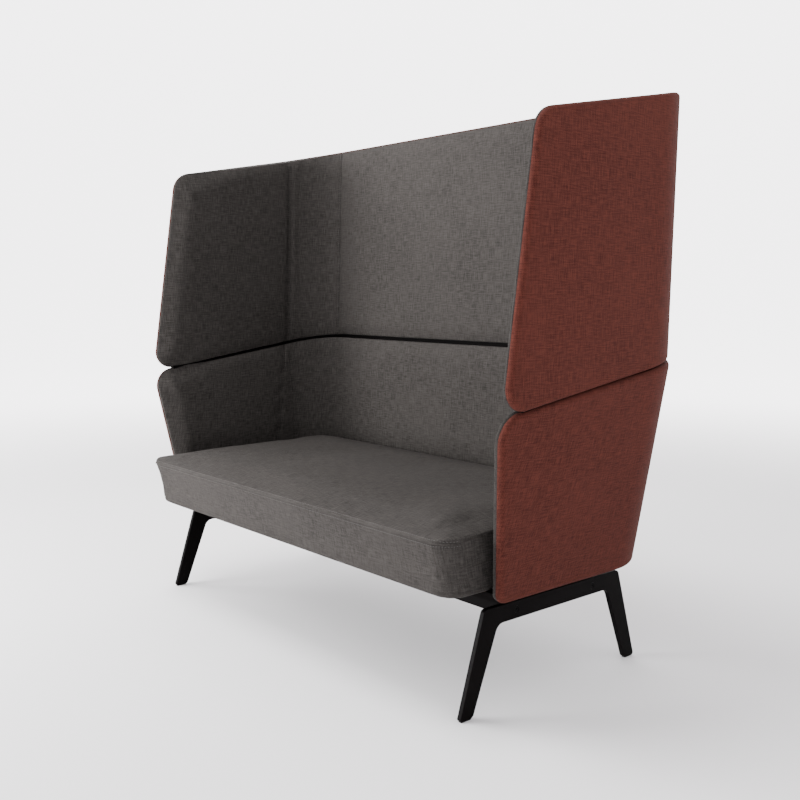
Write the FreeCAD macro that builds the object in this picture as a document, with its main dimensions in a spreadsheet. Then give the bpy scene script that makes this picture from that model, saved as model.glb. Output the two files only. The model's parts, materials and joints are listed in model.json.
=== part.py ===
import FreeCAD, Part
import Sketcher
import math
import os
from FreeCAD import Placement, Vector

# A two-seat high back lounge sofa: a U-shaped shell in two tiers round an upholstered seat,
# on two plate leg frames that are tied by cross rails under the seat.
# Millimetres, +Z up, the front faces -Y, and the origin is on the floor under the middle.

doc = FreeCAD.newDocument("acoustic_lounge")

# Driving dimensions
SIZES = [
    ("lower_bottom_height", 256, "underside of the lower shell above the floor"),
    ("lower_bottom_half_width", 690, "outer face of a lower wing at its bottom edge"),
    ("lower_bottom_back", 330, "outer back face of the lower shell at its bottom edge"),
    ("joint_height", 760, "height where the back faces of the two tiers meet"),
    ("lower_flare", 76, "how far a lower wing leans out from its bottom edge to the joint height"),
    ("joint_back", 356, "outer back face of both tiers at the joint height"),
    ("gap_front_height", 661, "middle of the gap between the tiers at the wing fronts"),
    ("gap_opening", 5, "height of the gap between the tiers"),
    ("tier_step", 9, "how far the upright upper wings stand inside the joint's half width"),
    ("upper_top_back", 373, "outer back face of the upper shell at the top"),
    ("top_height", 1378, "top edge of the upper shell at its back"),
    ("top_front_height", 1268, "top edge of the upper shell at the wing fronts"),
    ("upper_top_front", -214, "front edge of an upper wing at its top corner"),
    ("upper_gap_front", -303, "front edge of an upper wing at the gap"),
    ("lower_gap_front", -308, "front edge of a lower wing at the gap"),
    ("lower_bottom_front", -245, "front edge of a lower wing at its bottom corner"),
    ("plan_radius", 180, "outer radius of the shell's rear corners in plan"),
    ("top_corner_radius", 62, "rounding of an upper wing's top front corner"),
    ("upper_gap_corner_radius", 48, "rounding of an upper wing's lower front corner"),
    ("lower_gap_corner_radius", 58, "rounding of a lower wing's top front corner"),
    ("bottom_corner_radius", 26, "rounding of a lower wing's bottom front corner"),
    ("outer_skin", 4, "padded fabric over the outside of the panels"),
    ("panel_thickness", 10, "moulded plywood panels of both tiers"),
    ("upper_pad", 26, "inner pad of the upper tier, foam and fabric"),
    ("lower_pad", 32, "inner pad of the lower tier, foam and fabric"),
    ("inner_skin", 2, "fabric over the inner foam"),
    ("outer_rim_roll", 9, "rounding of the outer cover's rim"),
    ("inner_rim_roll", 7, "rounding of the inner pad's rim"),
    ("dowel_radius", 3, "plywood dowels between neighbouring panels"),
    ("dowel_length", 36, "length of a dowel"),
    ("upright_x", 380, "middle of each steel upright behind the back foam"),
    ("upright_width", 45, "width of an upright"),
    ("upright_thickness", 5, "thickness of an upright"),
    ("upright_low", 330, "lower end of an upright"),
    ("upright_high", 1150, "upper end of an upright"),
    ("upright_screw_radius", 2.5, "shank of the screws that hold the uprights"),
    ("upright_screw_length", 13, "length of those screws under the head"),
    ("upright_screw_head_radius", 5, "head of those screws"),
    ("upright_screw_head_height", 2.5, "height of that head"),
    ("board_thickness", 18, "plywood base board under the seat"),
    ("board_front", -235, "front edge of the base board"),
    ("shell_screw_radius", 2.5, "shank of the screws from the lower panels into the board"),
    ("shell_screw_length", 40, "length of those screws"),
    ("shell_screw_head_radius", 4.5, "head of those screws"),
    ("shell_screw_sink", 1, "wood over the head of such a screw, under the fabric"),
    ("shell_screw_head_height", 3, "height of that head"),
    ("shell_screw_pitch", 140, "spacing of those screws along a wing"),
    ("shell_screw_spread", 380, "distance of the outer back screws from the middle"),
    ("soft_clearance", 0.3, "air between the seat and the inner pads"),
    ("seat_front_top", -370.5, "front of the seat at its top edge"),
    ("seat_front_bottom", -344, "front of the seat at its bottom edge"),
    ("seat_edge_height", 398, "height of the seat's top edge"),
    ("seat_crown", 28, "rise of the seat's middle above its top edge"),
    ("seat_flat_share", 0.45, "flat middle of the crown, as a share of the seat's outline"),
    ("seat_front_step", 44, "how far the seat's front corners stand inside the shell's bottom edge"),
    ("seat_taper_start", -190, "where the seat's sides leave the wings and start to taper"),
    ("seat_taper_radius", 150, "rounding where the taper starts"),
    ("seat_front_radius", 70, "rounding of the seat's front corners in plan"),
    ("seat_bottom_roll", 12, "rounding of the seat's bottom edge"),
    ("seat_skin", 2, "fabric over the seat"),
    ("dust_thickness", 1, "cloth under the seat frame"),
    ("frame_inset", 9, "padding between the seat's bottom outline and its timber frame"),
    ("frame_thickness", 22, "thickness of the seat's timber rails"),
    ("frame_height", 60, "height of the seat's timber rails"),
    ("frame_corner_y", -250, "joint between the front rail and the side rails"),
    ("frame_rear_y", 140, "joint between the side rails and the rear rail"),
    ("webbing_width", 60, "width of an elastic webbing strap"),
    ("webbing_count", 10, "number of straps"),
    ("webbing_pitch", 108, "spacing of the straps"),
    ("webbing_thickness", 1.5, "thickness of a strap"),
    ("welt_radius", 2.5, "flat welt along the seat's top edge"),
    ("welt_end", -240, "where the welt ends, just behind the wing fronts"),
    ("seat_screw_radius", 2.5, "shank of the screws from the board into the seat frame"),
    ("seat_screw_margin", 40, "distance of the end screws from the board's front and the rail's joint"),
    ("seat_rear_screw_x", 190, "distance of the rear screws from the middle"),
    ("seat_screw_length", 42, "length of those screws"),
    ("seat_screw_head_radius", 5, "head of those screws"),
    ("seat_screw_head_height", 3, "height of that head"),
    ("leg_face_x", 637, "outer face of each leg frame"),
    ("leg_plate", 12, "thickness of the steel plate of a leg frame"),
    ("leg_middle_y", -4, "middle of a leg frame, front to back"),
    ("leg_top_half", 232, "half length of a leg frame at its top"),
    ("leg_foot_half", 304, "half length of a leg frame at the floor"),
    ("leg_top_height", 233, "top of a leg frame"),
    ("leg_beam_depth", 40, "depth of the beam of a leg frame"),
    ("leg_knee_width", 54, "width of a leg where it leaves the beam"),
    ("leg_foot_width", 38, "width of a leg at the floor"),
    ("leg_outer_radius", 12, "rounding of the frame's outer corners"),
    ("leg_inner_radius", 24, "rounding between beam and legs"),
    ("leg_edge_break", 1, "broken edge all round a leg frame"),
    ("foot_chamfer", 4, "chamfer at the front and back of a foot"),
    ("glide_height", 3, "nylon glide under a foot"),
    ("glide_length", 28, "length of a glide, front to back"),
    ("glide_width", 9, "width of a glide"),
    ("bolt_offset", 132, "distance of the leg bolts from the middle of a leg frame"),
    ("bolt_height", 214, "height of the leg bolts"),
    ("bolt_radius", 4, "shank of a leg bolt"),
    ("bolt_length", 26, "length of a leg bolt under the head"),
    ("bolt_head_radius", 7, "head of a leg bolt"),
    ("bolt_head_height", 4.4, "height of that head"),
    ("bolt_socket_radius", 2.5, "hexagon socket in the head, across its corners"),
    ("bolt_socket_depth", 2.5, "depth of that socket"),
    ("recess_clearance", 0.5, "air round a bolt head in its recess"),
    ("recess_depth", 5, "depth of the recess in the plate"),
    ("rail_height", 60, "height of a steel cross rail"),
    ("rail_width", 30, "width of a steel cross rail, front to back"),
    ("rail_wall", 2.5, "wall of a steel cross rail"),
    ("plug_length", 30, "length of a threaded plug in a rail's end"),
    ("rail_screw_radius", 3, "shank of the screws from the rails into the board"),
    ("rail_screw_length", 72, "length of those screws under the head"),
    ("rail_screw_head_radius", 6, "head of those screws"),
    ("rail_screw_head_height", 4, "height of that head"),
    ("rail_screw_inner", 200, "inner rail screws, from the middle"),
    ("rail_screw_outer", 480, "outer rail screws, from the middle"),
]

sheet = doc.addObject("Spreadsheet::Sheet", "sizes")
for row, (alias, value, note) in enumerate(SIZES, start=1):
    sheet.set("A%d" % row, note)
    sheet.set("B%d" % row, str(value))
    sheet.setAlias("B%d" % row, alias)
doc.recompute()


def size(alias):
    return float(sheet.get(alias))


def value_of(expression):
    return float(sheet.evalExpression(expression))


nodes = []


def keep(part, name):
    """Give a finished sub-part its name and put it on the list of pieces to write."""
    part.Label = name
    nodes.append(part)
    return part


def keep_shape(name, shape):
    part = doc.addObject("Part::Feature", name)
    part.Shape = shape
    part.Placement = Placement()
    return keep(part, name)


def block(name, corner, lengths):
    """A box whose corner and lengths are expressions in the sheet's sizes."""
    part = doc.addObject("Part::Box", name)
    for axis, expression in zip("xyz", corner):
        part.setExpression("Placement.Base." + axis, expression)
    for field, expression in zip(("Length", "Width", "Height"), lengths):
        part.setExpression(field, expression)
    return part


SIDES = {1: "right", -1: "left"}
SPLIT = size("outer_skin") + size("panel_thickness")
BOARD_TOP = size("lower_bottom_height") + size("board_thickness")
JOINT_HALF = size("lower_bottom_half_width") + size("lower_flare")
UPPER_HALF = JOINT_HALF - size("tier_step")

# Reach of the tools that cut right through the sofa, sideways and rearwards, and to the front
FAR = 2 * (JOINT_HALF + size("lower_bottom_half_width"))
FRONT = 2 * size("lower_gap_front")


def between(at, low_at, low, high_at, high):
    return low + (high - low) * (at - low_at) / (high_at - low_at)


class Tier:
    """One storey of the shell: its outer faces at a height, and the depth of its wall."""

    def __init__(self, low, high, reach, pad):
        self.low, self.high = low, high
        self.bottom, self.top = reach
        self.depth = SPLIT + pad

    def half(self, height):
        return between(height, self.low[0], self.low[1], self.high[0], self.high[1])

    def back(self, height):
        return between(height, self.low[0], self.low[2], self.high[0], self.high[2])

    def corner_centre(self, height, side):
        radius = size("plan_radius")
        return Vector(side * (self.half(height) - radius), self.back(height) - radius, height)

    def depth_of(self, point):
        centre = self.corner_centre(point.z, 1)
        across, along = abs(point.x) - centre.x, point.y - centre.y
        if across > 0 and along > 0:
            return size("plan_radius") - math.hypot(across, along)
        return size("plan_radius") - max(across, along)


lower_base = (size("lower_bottom_height"), size("lower_bottom_half_width"), size("lower_bottom_back"))
joint = (size("joint_height"), JOINT_HALF, size("joint_back"))
lower = Tier(lower_base, joint,
             (size("lower_bottom_height") - size("gap_opening"), size("joint_height")), size("lower_pad"))
upper = Tier((size("joint_height"), UPPER_HALF, size("joint_back")),
             (size("top_height"), UPPER_HALF, size("upper_top_back")),
             (size("gap_front_height"), size("top_height") + size("gap_opening")), size("upper_pad"))
TIERS = {"lower": lower, "upper": upper}


# Building blocks of the shell's walls between two depths: straight wings and back, round corners
def flat_sided(low, high):
    """A solid between two sections with the same number of corners."""
    rings = [low + low[:1], high + high[:1]]
    faces = [Part.Face(Part.makePolygon(ring)) for ring in rings]
    for i in range(len(low)):
        a, b, c, d = rings[0][i], rings[0][i + 1], rings[1][i + 1], rings[1][i]
        faces.append(Part.Face(Part.makePolygon([a, b, c, d, a])))
    solid = Part.Solid(Part.Shell(faces))
    if solid.Volume < 0:
        solid.reverse()
    return solid


def wing_block(tier, near, far, side):
    def section(height):
        outer, inner = side * (tier.half(height) - near), side * (tier.half(height) - far)
        rear = tier.corner_centre(height, side).y
        return [Vector(outer, FRONT, height), Vector(outer, rear, height),
                Vector(inner, rear, height), Vector(inner, FRONT, height)]
    return flat_sided(section(tier.bottom), section(tier.top))


def back_block(tier, near, far):
    def section(height):
        back, reach = tier.back(height), tier.corner_centre(height, 1).x
        return [Vector(-reach, back - near, height), Vector(reach, back - near, height),
                Vector(reach, back - far, height), Vector(-reach, back - far, height)]
    return flat_sided(section(tier.bottom), section(tier.top))


def corner_block(tier, near, far, side):
    centre = tier.corner_centre(tier.bottom, side)

    def quarter(depth):
        radius = size("plan_radius") - depth
        points = [centre + Vector(side * radius * math.cos(turn), radius * math.sin(turn), 0)
                  for turn in (0, math.pi / 4, math.pi / 2)]
        return Part.Arc(*points).toShape(), points
    outer, outer_points = quarter(near)
    inner, inner_points = quarter(far)
    ends = [Part.makeLine(outer_points[i], inner_points[i]) for i in (0, -1)]
    section = Part.Face(Part.Wire(Part.__sortEdges__([outer, inner] + ends)))
    return section.extrude(tier.corner_centre(tier.top, side) - centre)


def wall(tier, near, far):
    pieces = [back_block(tier, near, far)]
    for side in SIDES:
        pieces.append(wing_block(tier, near, far, side))
        pieces.append(corner_block(tier, near, far, side))
    return pieces[0].multiFuse(pieces[1:]).removeSplitter()


# Closed outlines with rounded corners, drawn in by an inset; corners run counter-clockwise
SMALLEST_RADIUS = 3


def crossing(a, b, c, d):
    first, second = b - a, d - c
    share = ((c - a).x * second.y - (c - a).y * second.x) / (first.x * second.y - first.y * second.x)
    return a + first * share


def drawn_in(corners, inset):
    sides = []
    for a, b in zip(corners, corners[1:] + corners[:1]):
        along = (b - a).normalize()
        inward = Vector(-along.y, along.x, 0) * inset
        sides.append((a + inward, b + inward))
    return [crossing(*sides[i - 1], *sides[i]) for i in range(len(corners))]


def rounded_outline(corners, radii, inset, place):
    """The wire of an outline; place puts a point of the flat outline into the model."""
    corners = drawn_in(corners, inset)
    edges, starts, ends = [], [], []
    for i, corner in enumerate(corners):
        start = end = corner
        if radii[i] > 0:
            radius = max(radii[i] - inset, SMALLEST_RADIUS)
            before = (corners[i - 1] - corner).normalize()
            after = (corners[(i + 1) % len(corners)] - corner).normalize()
            half_angle = before.getAngle(after) / 2
            reach = radius / math.tan(half_angle)
            start, end = corner + before * reach, corner + after * reach
            middle = corner + (before + after).normalize() * (radius / math.sin(half_angle) - radius)
            edges.append(Part.Arc(place(start), place(middle), place(end)).toShape())
        starts.append(start)
        ends.append(end)
    edges += [Part.makeLine(place(ends[i - 1]), place(starts[i])) for i in range(len(corners))]
    return Part.Wire(Part.__sortEdges__(edges))


def at_height(height):
    return lambda point: Vector(point.x, point.y, height)


# Side view of each tier
def side_view(point):
    return Vector(0, point.x, point.y)


def gap_height(y):
    front, back = size("upper_gap_front"), size("joint_back")
    return between(y, front, size("gap_front_height"), back, size("joint_height"))


def upper_outline(inset=0):
    half_gap = size("gap_opening") / 2
    front = Vector(size("upper_gap_front"), gap_height(size("upper_gap_front")) + half_gap)
    front_top = Vector(size("upper_top_front"), size("top_front_height"))
    far_height = between(FAR, front_top.x, front_top.y, size("upper_top_back"), size("top_height"))
    corners = [front, Vector(FAR, gap_height(FAR) + half_gap), Vector(FAR, far_height), front_top]
    radii = [size("upper_gap_corner_radius"), 0, 0, size("top_corner_radius")]
    return rounded_outline(corners, radii, inset, side_view)


def lower_outline(inset=0, floor=size("lower_bottom_height")):
    half_gap = size("gap_opening") / 2
    front_top = Vector(size("lower_gap_front"), gap_height(size("lower_gap_front")) - half_gap)
    low_height, low_front = size("lower_bottom_height"), size("lower_bottom_front")
    front = between(floor, low_height, low_front, front_top.y, front_top.x)
    corners = [Vector(front, floor), Vector(FAR, floor), Vector(FAR, gap_height(FAR) - half_gap), front_top]
    radii = [size("bottom_corner_radius"), 0, 0, size("lower_gap_corner_radius")]
    return rounded_outline(corners, radii, inset, side_view)


OUTLINES = {"lower": lower_outline, "upper": upper_outline}


def through_width(outline):
    start = outline.copy()
    start.translate(Vector(-FAR / 2, 0, 0))
    return Part.Face(start).extrude(Vector(FAR, 0, 0))


def rolled(tier, near, far, outline, face_depth, radius):
    """A wall cut to an outline, with the rim of the face at face_depth rolled over."""
    solid = wall(tier, near, far).common(through_width(outline)).removeSplitter().Solids[0]
    near_enough = 0.05
    rim = []
    for edge in solid.Edges:
        middle = edge.valueAt((edge.FirstParameter + edge.LastParameter) / 2)
        in_side_view = Part.Vertex(Vector(0, middle.y, middle.z)).distToShape(outline)[0]
        if abs(tier.depth_of(middle) - face_depth) < near_enough and in_side_view < near_enough:
            rim.append(edge)
    return solid.makeFillet(radius, rim)


# Dowels that join the five panels of each tier, spread over the height that the seams have
DOWEL_SHARES = (0.12, 0.5, 0.84)
DOWEL_SPANS = {"lower": (lower.bottom, gap_height(0)),
               "upper": (gap_height(size("joint_back")), size("top_front_height"))}


def dowels(name):
    tier = TIERS[name]
    depth = size("outer_skin") + size("panel_thickness") / 2
    length = size("dowel_length")
    pieces = []
    for share in DOWEL_SHARES:
        height = between(share, 0, DOWEL_SPANS[name][0], 1, DOWEL_SPANS[name][1])
        for side in SIDES:
            seam = tier.corner_centre(height, side)
            wing = Vector(side * (tier.half(height) - depth), seam.y - length / 2, height)
            back = Vector(seam.x - length / 2, tier.back(height) - depth, height)
            pieces.append(Part.makeCylinder(size("dowel_radius"), length, wing, Vector(0, 1, 0)))
            pieces.append(Part.makeCylinder(size("dowel_radius"), length, back, Vector(1, 0, 0)))
    return Part.makeCompound(pieces)


def screw(kind, head_face, direction):
    """A screw whose head stands on head_face and whose shank runs along direction."""
    radius, length = size(kind + "_radius"), size(kind + "_length")
    head_radius, head_height = size(kind + "_head_radius"), size(kind + "_head_height")
    shank = Part.makeCylinder(radius, length, head_face, direction)
    head = Part.makeCylinder(head_radius, head_height, head_face, -direction)
    return shank.fuse(head).removeSplitter()


# Steel uprights behind the back foam that carry the upper tier on the lower one
def tier_at(height):
    return lower if height <= size("joint_height") else upper


def upright(side):
    def section(height):
        back = tier_at(height).back(height) - SPLIT
        left, right = [side * size("upright_x") + end * size("upright_width") / 2 for end in (-1, 1)]
        return [Vector(left, back, height), Vector(right, back, height),
                Vector(right, back - size("upright_thickness"), height),
                Vector(left, back - size("upright_thickness"), height)]
    heights = [size("upright_low"), size("joint_height"), size("upright_high")]
    halves = [flat_sided(section(a), section(b)) for a, b in zip(heights, heights[1:])]
    return halves[0].fuse(halves[1]).removeSplitter().Solids[0]


UPRIGHT_SCREW_SHARES = (0.06, 0.25, 0.44, 0.56, 0.75, 0.94)


def upright_screws():
    pieces = []
    for side in SIDES:
        for share in UPRIGHT_SCREW_SHARES:
            height = between(share, 0, size("upright_low"), 1, size("upright_high"))
            face = tier_at(height).back(height) - SPLIT - size("upright_thickness")
            place = Vector(side * size("upright_x"), face, height)
            pieces.append(screw("upright_screw", place, Vector(0, 1, 0)))
    return Part.makeCompound(pieces)


# Screws through the lower panels into the base board's edge
def shell_screws():
    height = size("lower_bottom_height") + size("board_thickness") / 2
    sunk = size("outer_skin") + size("shell_screw_head_height") + size("shell_screw_sink")
    half = lower.half(height) - sunk
    pieces = []
    for step in (-1, 0, 1):
        for side in SIDES:
            place = Vector(side * half, size("leg_middle_y") + step * size("shell_screw_pitch"), height)
            pieces.append(screw("shell_screw", place, Vector(-side, 0, 0)))
        rear = Vector(step * size("shell_screw_spread"), lower.back(height) - sunk, height)
        pieces.append(screw("shell_screw", rear, Vector(0, -1, 0)))
    return Part.makeCompound(pieces)


dowel_sets = {name: dowels(name) for name in TIERS}
uprights = {side: upright(side) for side in SIDES}
upright_screw_set = upright_screws()
shell_screw_set = shell_screws()

# Panels, covers, foam and dowels of each tier
for name, tier in TIERS.items():
    outline = OUTLINES[name]
    skin = size("outer_skin")
    trimmed = through_width(outline(skin))
    holes = [dowel_sets[name], upright_screw_set, shell_screw_set]
    panels = {"back_panel": back_block(tier, skin, SPLIT)}
    for side, word in SIDES.items():
        panels["corner_panel_" + word] = corner_block(tier, skin, SPLIT, side)
        panels["wing_panel_" + word] = wing_block(tier, skin, SPLIT, side)
    for part_name, blank in panels.items():
        keep_shape(name + "_" + part_name, blank.common(trimmed).cut(holes).Solids[0])
    keep_shape(name + "_dowels", dowel_sets[name])

    outer = rolled(tier, 0, SPLIT, outline(), 0, size("outer_rim_roll"))
    core = wall(tier, skin, SPLIT + skin).common(trimmed)
    keep_shape(name + "_outer_cover", outer.cut(core).Solids[0])

    floor = {"floor": BOARD_TOP} if name == "lower" else {}
    pad = rolled(tier, SPLIT, tier.depth, outline(**floor), tier.depth, size("inner_rim_roll"))
    foam_face = tier.depth - size("inner_skin")
    foam = rolled(tier, SPLIT, foam_face, outline(size("inner_skin"), **floor), foam_face,
                  size("inner_rim_roll") - size("inner_skin"))
    steel = [uprights[1], uprights[-1], upright_screw_set]
    keep_shape(name + "_inner_cover", pad.cut([foam] + steel).Solids[0])
    keep_shape(name + "_inner_foam", foam.cut(steel).Solids[0])

for side, word in SIDES.items():
    keep_shape("back_upright_" + word, uprights[side].cut(upright_screw_set).Solids[0])
keep_shape("upright_screws", upright_screw_set)
keep_shape("shell_screws", shell_screw_set)


# Seat: its sides and rear follow the lower tier, and its front stands free of the wings
def seat_side(height):
    return lower.half(height) - lower.depth - size("soft_clearance")


def seat_rear(height):
    return lower.back(height) - lower.depth - size("soft_clearance")


def seat_front(height):
    bottom, top = size("seat_front_bottom"), size("seat_front_top")
    return between(height, BOARD_TOP, bottom, size("seat_edge_height"), top)


def seat_outline(height, inset=0, lift=0):
    half, rear, front = seat_side(height), seat_rear(height), seat_front(height)
    front_half = size("lower_bottom_half_width") - size("seat_front_step")
    taper = size("seat_taper_start")
    corners = [Vector(-front_half, front), Vector(front_half, front), Vector(half, taper),
               Vector(half, rear), Vector(-half, rear), Vector(-half, taper)]
    rear_radius = size("plan_radius") - lower.depth
    radii = [size("seat_front_radius"), size("seat_front_radius"), size("seat_taper_radius"),
             rear_radius, rear_radius, size("seat_taper_radius")]
    return rounded_outline(corners, radii, inset, at_height(height + lift))


ROLL_TURNS = (0, math.pi / 6, math.pi / 3, math.pi / 2)
CROWN_SHARES = (0.2, 0.4, 0.6, 0.8, 1)
CROWN_FALL = 3


def seat_form(inset, bottom):
    """The seat's closed form: sloping front, rolled bottom edge and crowned top."""
    edge_height, roll = size("seat_edge_height"), size("seat_bottom_roll")
    sections = [seat_outline(bottom + roll * (1 - math.cos(turn)), inset + roll * (1 - math.sin(turn)))
                for turn in ROLL_TURNS]
    sections.append(seat_outline(edge_height, inset, -inset))
    middle = Vector(0, (seat_front(edge_height) + seat_rear(edge_height)) / 2, edge_height)
    for share in CROWN_SHARES:
        ring = seat_outline(edge_height, inset, -inset)
        ring.scale(1 - (1 - size("seat_flat_share")) * share ** CROWN_FALL, middle)
        ring.translate(Vector(0, 0, size("seat_crown") * math.sin(share * math.pi / 2)))
        sections.append(ring)
    return Part.makeLoft(sections, True, True)


def seat_prism(inset, low, high):
    return Part.Face(seat_outline(BOARD_TOP, inset, low - BOARD_TOP)).extrude(Vector(0, 0, high - low))


def slab(y_low, y_high, z_low, z_high, x_low=-FAR, x_high=FAR):
    return Part.makeBox(x_high - x_low, y_high - y_low, z_high - z_low, Vector(x_low, y_low, z_low))


frame_low = BOARD_TOP + size("dust_thickness")
frame_high = frame_low + size("frame_height")
webbing_high = frame_high + size("webbing_thickness")
frame_inner = size("frame_inset") + size("frame_thickness")
frame_ring = seat_prism(size("frame_inset"), frame_low, frame_high)
frame_ring = frame_ring.cut(seat_prism(frame_inner, frame_low, frame_high))


def seat_screws():
    start = size("lower_bottom_height") + size("seat_screw_head_height")
    rail_middle = size("frame_inset") + size("frame_thickness") / 2
    side_x = seat_side(BOARD_TOP) - rail_middle
    rear_y = seat_rear(BOARD_TOP) - rail_middle
    side_ys = (size("board_front") + size("seat_screw_margin"), size("leg_middle_y"),
               size("frame_rear_y") - size("seat_screw_margin"))
    places = []
    for side in SIDES:
        places += [Vector(side * side_x, y, start) for y in side_ys]
        places.append(Vector(side * size("seat_rear_screw_x"), rear_y, start))
    return Part.makeCompound([screw("seat_screw", place, Vector(0, 0, 1)) for place in places])


seat_screw_set = seat_screws()
RAIL_CUTS = {
    "seat_front_rail": (-FAR, size("frame_corner_y"), -FAR, FAR),
    "seat_rear_rail": (size("frame_rear_y"), FAR, -FAR, FAR),
    "seat_side_rail_right": (size("frame_corner_y"), size("frame_rear_y"), 0, FAR),
    "seat_side_rail_left": (size("frame_corner_y"), size("frame_rear_y"), -FAR, 0),
}
for rail_name, (y_low, y_high, x_low, x_high) in RAIL_CUTS.items():
    rail = frame_ring.common(slab(y_low, y_high, frame_low, frame_high, x_low, x_high))
    keep_shape(rail_name, rail.cut(seat_screw_set).Solids[0])
centre_half = size("frame_thickness") / 2
centre_ends = size("seat_front_bottom") + frame_inner, seat_rear(BOARD_TOP) - frame_inner
keep_shape("seat_centre_rail", slab(*centre_ends, frame_low, frame_high, -centre_half, centre_half))


def webbing():
    front = size("seat_front_bottom") + size("frame_inset")
    rear = seat_rear(BOARD_TOP) - size("frame_inset")
    half = size("webbing_width") / 2
    straps = []
    for side in SIDES:
        for step in range(int(size("webbing_count")) // 2):
            middle = side * (step + 0.5) * size("webbing_pitch")
            straps.append(slab(front, rear, frame_high, webbing_high, middle - half, middle + half))
    return Part.makeCompound(straps)


def welt():
    """A thin roll along the seat's top edge, from wing to wing round the front."""
    outline = seat_outline(size("seat_edge_height"))
    in_front = [edge for edge in outline.Edges if edge.CenterOfMass.y < size("seat_taper_start")]
    spine = Part.Wire(Part.__sortEdges__(in_front))
    start = spine.OrderedVertexes[0].Point
    first = spine.OrderedEdges[0]
    along = first.tangentAt(first.FirstParameter)
    circle = Part.Wire(Part.makeCircle(size("welt_radius"), start, along))
    roll = spine.makePipeShell([circle], True, False)
    return roll.common(slab(-FAR, size("welt_end"), 0, size("top_height"))).Solids[0]


seat_outer = seat_form(0, BOARD_TOP)
seat_inner = seat_form(size("seat_skin"), BOARD_TOP + size("seat_skin"))
welt_shape = welt()
frame_space = seat_prism(size("frame_inset"), BOARD_TOP, webbing_high)
dust_cover = seat_prism(size("frame_inset"), BOARD_TOP, frame_low)
keep_shape("seat_webbing", webbing())
keep_shape("seat_dust_cover", dust_cover.cut(seat_screw_set).Solids[0])
keep_shape("seat_foam", seat_inner.cut([frame_space, welt_shape]).Solids[0])
keep_shape("seat_cover", seat_outer.cut([seat_inner, frame_space, welt_shape]).Solids[0])
keep_shape("seat_edge_welt", welt_shape)
keep_shape("seat_screws", seat_screw_set)

# Cross rails of steel tube with a threaded plug in each end, the leg bolts and the rail screws
rail_bottom = size("lower_bottom_height") - size("rail_height")
RAIL_PLACES = {"front": "(sizes.leg_middle_y - sizes.bolt_offset)",
               "rear": "(sizes.leg_middle_y + sizes.bolt_offset)"}
RAIL_HALF = "(sizes.leg_face_x - sizes.leg_plate)"


def rail_screws():
    pieces = []
    for y in map(value_of, RAIL_PLACES.values()):
        for x in (size("rail_screw_inner"), size("rail_screw_outer")):
            for side in SIDES:
                pieces.append(screw("rail_screw", Vector(side * x, y, rail_bottom), Vector(0, 0, 1)))
    return Part.makeCompound(pieces)


def leg_bolts():
    pieces = []
    head, depth, radius = size("bolt_head_height"), size("bolt_socket_depth"), size("bolt_socket_radius")
    for side in SIDES:
        for y in map(value_of, RAIL_PLACES.values()):
            head_face = Vector(side * (size("leg_face_x") - size("recess_depth")), y, size("bolt_height"))
            bolt = screw("bolt", head_face, Vector(-side, 0, 0))
            socket_floor = head_face + Vector(side * (head - depth), 0, 0)
            corners = []
            for turn in [k * math.pi / 3 for k in range(7)]:
                corners.append(socket_floor + Vector(0, radius * math.cos(turn), radius * math.sin(turn)))
            socket = Part.Face(Part.makePolygon(corners)).extrude(Vector(side * depth, 0, 0))
            pieces.append(bolt.cut(socket).Solids[0])
    return Part.makeCompound(pieces)


rail_screws_part = keep_shape("rail_screws", rail_screws())
leg_bolts_part = keep_shape("leg_bolts", leg_bolts())


def cut_part(name, base, tool):
    part = doc.addObject("Part::Cut", name)
    part.Base = base
    part.Tool = tool
    return part


plugs = []
for word, place in RAIL_PLACES.items():
    tube = block(word + "_tube", ("-" + RAIL_HALF, place + " - sizes.rail_width / 2",
                                  "sizes.lower_bottom_height - sizes.rail_height"),
                 ("2 * " + RAIL_HALF, "sizes.rail_width", "sizes.rail_height"))
    inside = (place + " - sizes.rail_width / 2 + sizes.rail_wall",
              "sizes.lower_bottom_height - sizes.rail_height + sizes.rail_wall")
    inner_size = ("sizes.rail_width - 2 * sizes.rail_wall", "sizes.rail_height - 2 * sizes.rail_wall")
    bore = block(word + "_bore", ("-" + RAIL_HALF,) + inside, ("2 * " + RAIL_HALF,) + inner_size)
    hollow = cut_part(word + "_hollow_tube", tube, bore)
    keep(cut_part(word + "_cross_rail", hollow, rail_screws_part), word + "_cross_rail")
    for side, start in ((1, RAIL_HALF + " - sizes.plug_length"), (-1, "-" + RAIL_HALF)):
        end = "%s_%s" % (word, SIDES[side])
        blank = block(end + "_plug", (start,) + inside, ("sizes.plug_length",) + inner_size)
        plugs.append(cut_part(end + "_tapped_plug", blank, leg_bolts_part))
plug_group = doc.addObject("Part::Compound", "rail_end_plugs")
plug_group.Links = plugs
keep(plug_group, "rail_end_plugs")


# Base board: it fills the lower shell's plan between the panels
def board_outline(height):
    half, back = lower.half(height) - SPLIT, lower.back(height) - SPLIT
    corners = [Vector(-half, size("board_front")), Vector(half, size("board_front")),
               Vector(half, back), Vector(-half, back)]
    radius = size("plan_radius") - SPLIT
    return rounded_outline(corners, [0, 0, radius, radius], 0, at_height(height))


board = Part.makeLoft([board_outline(size("lower_bottom_height")), board_outline(BOARD_TOP)], True, True)
keep_shape("base_board", board.cut([shell_screw_set, seat_screw_set, rail_screws_part.Shape]).Solids[0])


# Leg frames: one cut steel plate each, with recesses for the bolt heads
def origin_plane(body, role):
    return next(plane for plane in body.Origin.OriginFeatures if plane.Role == role)


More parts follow.
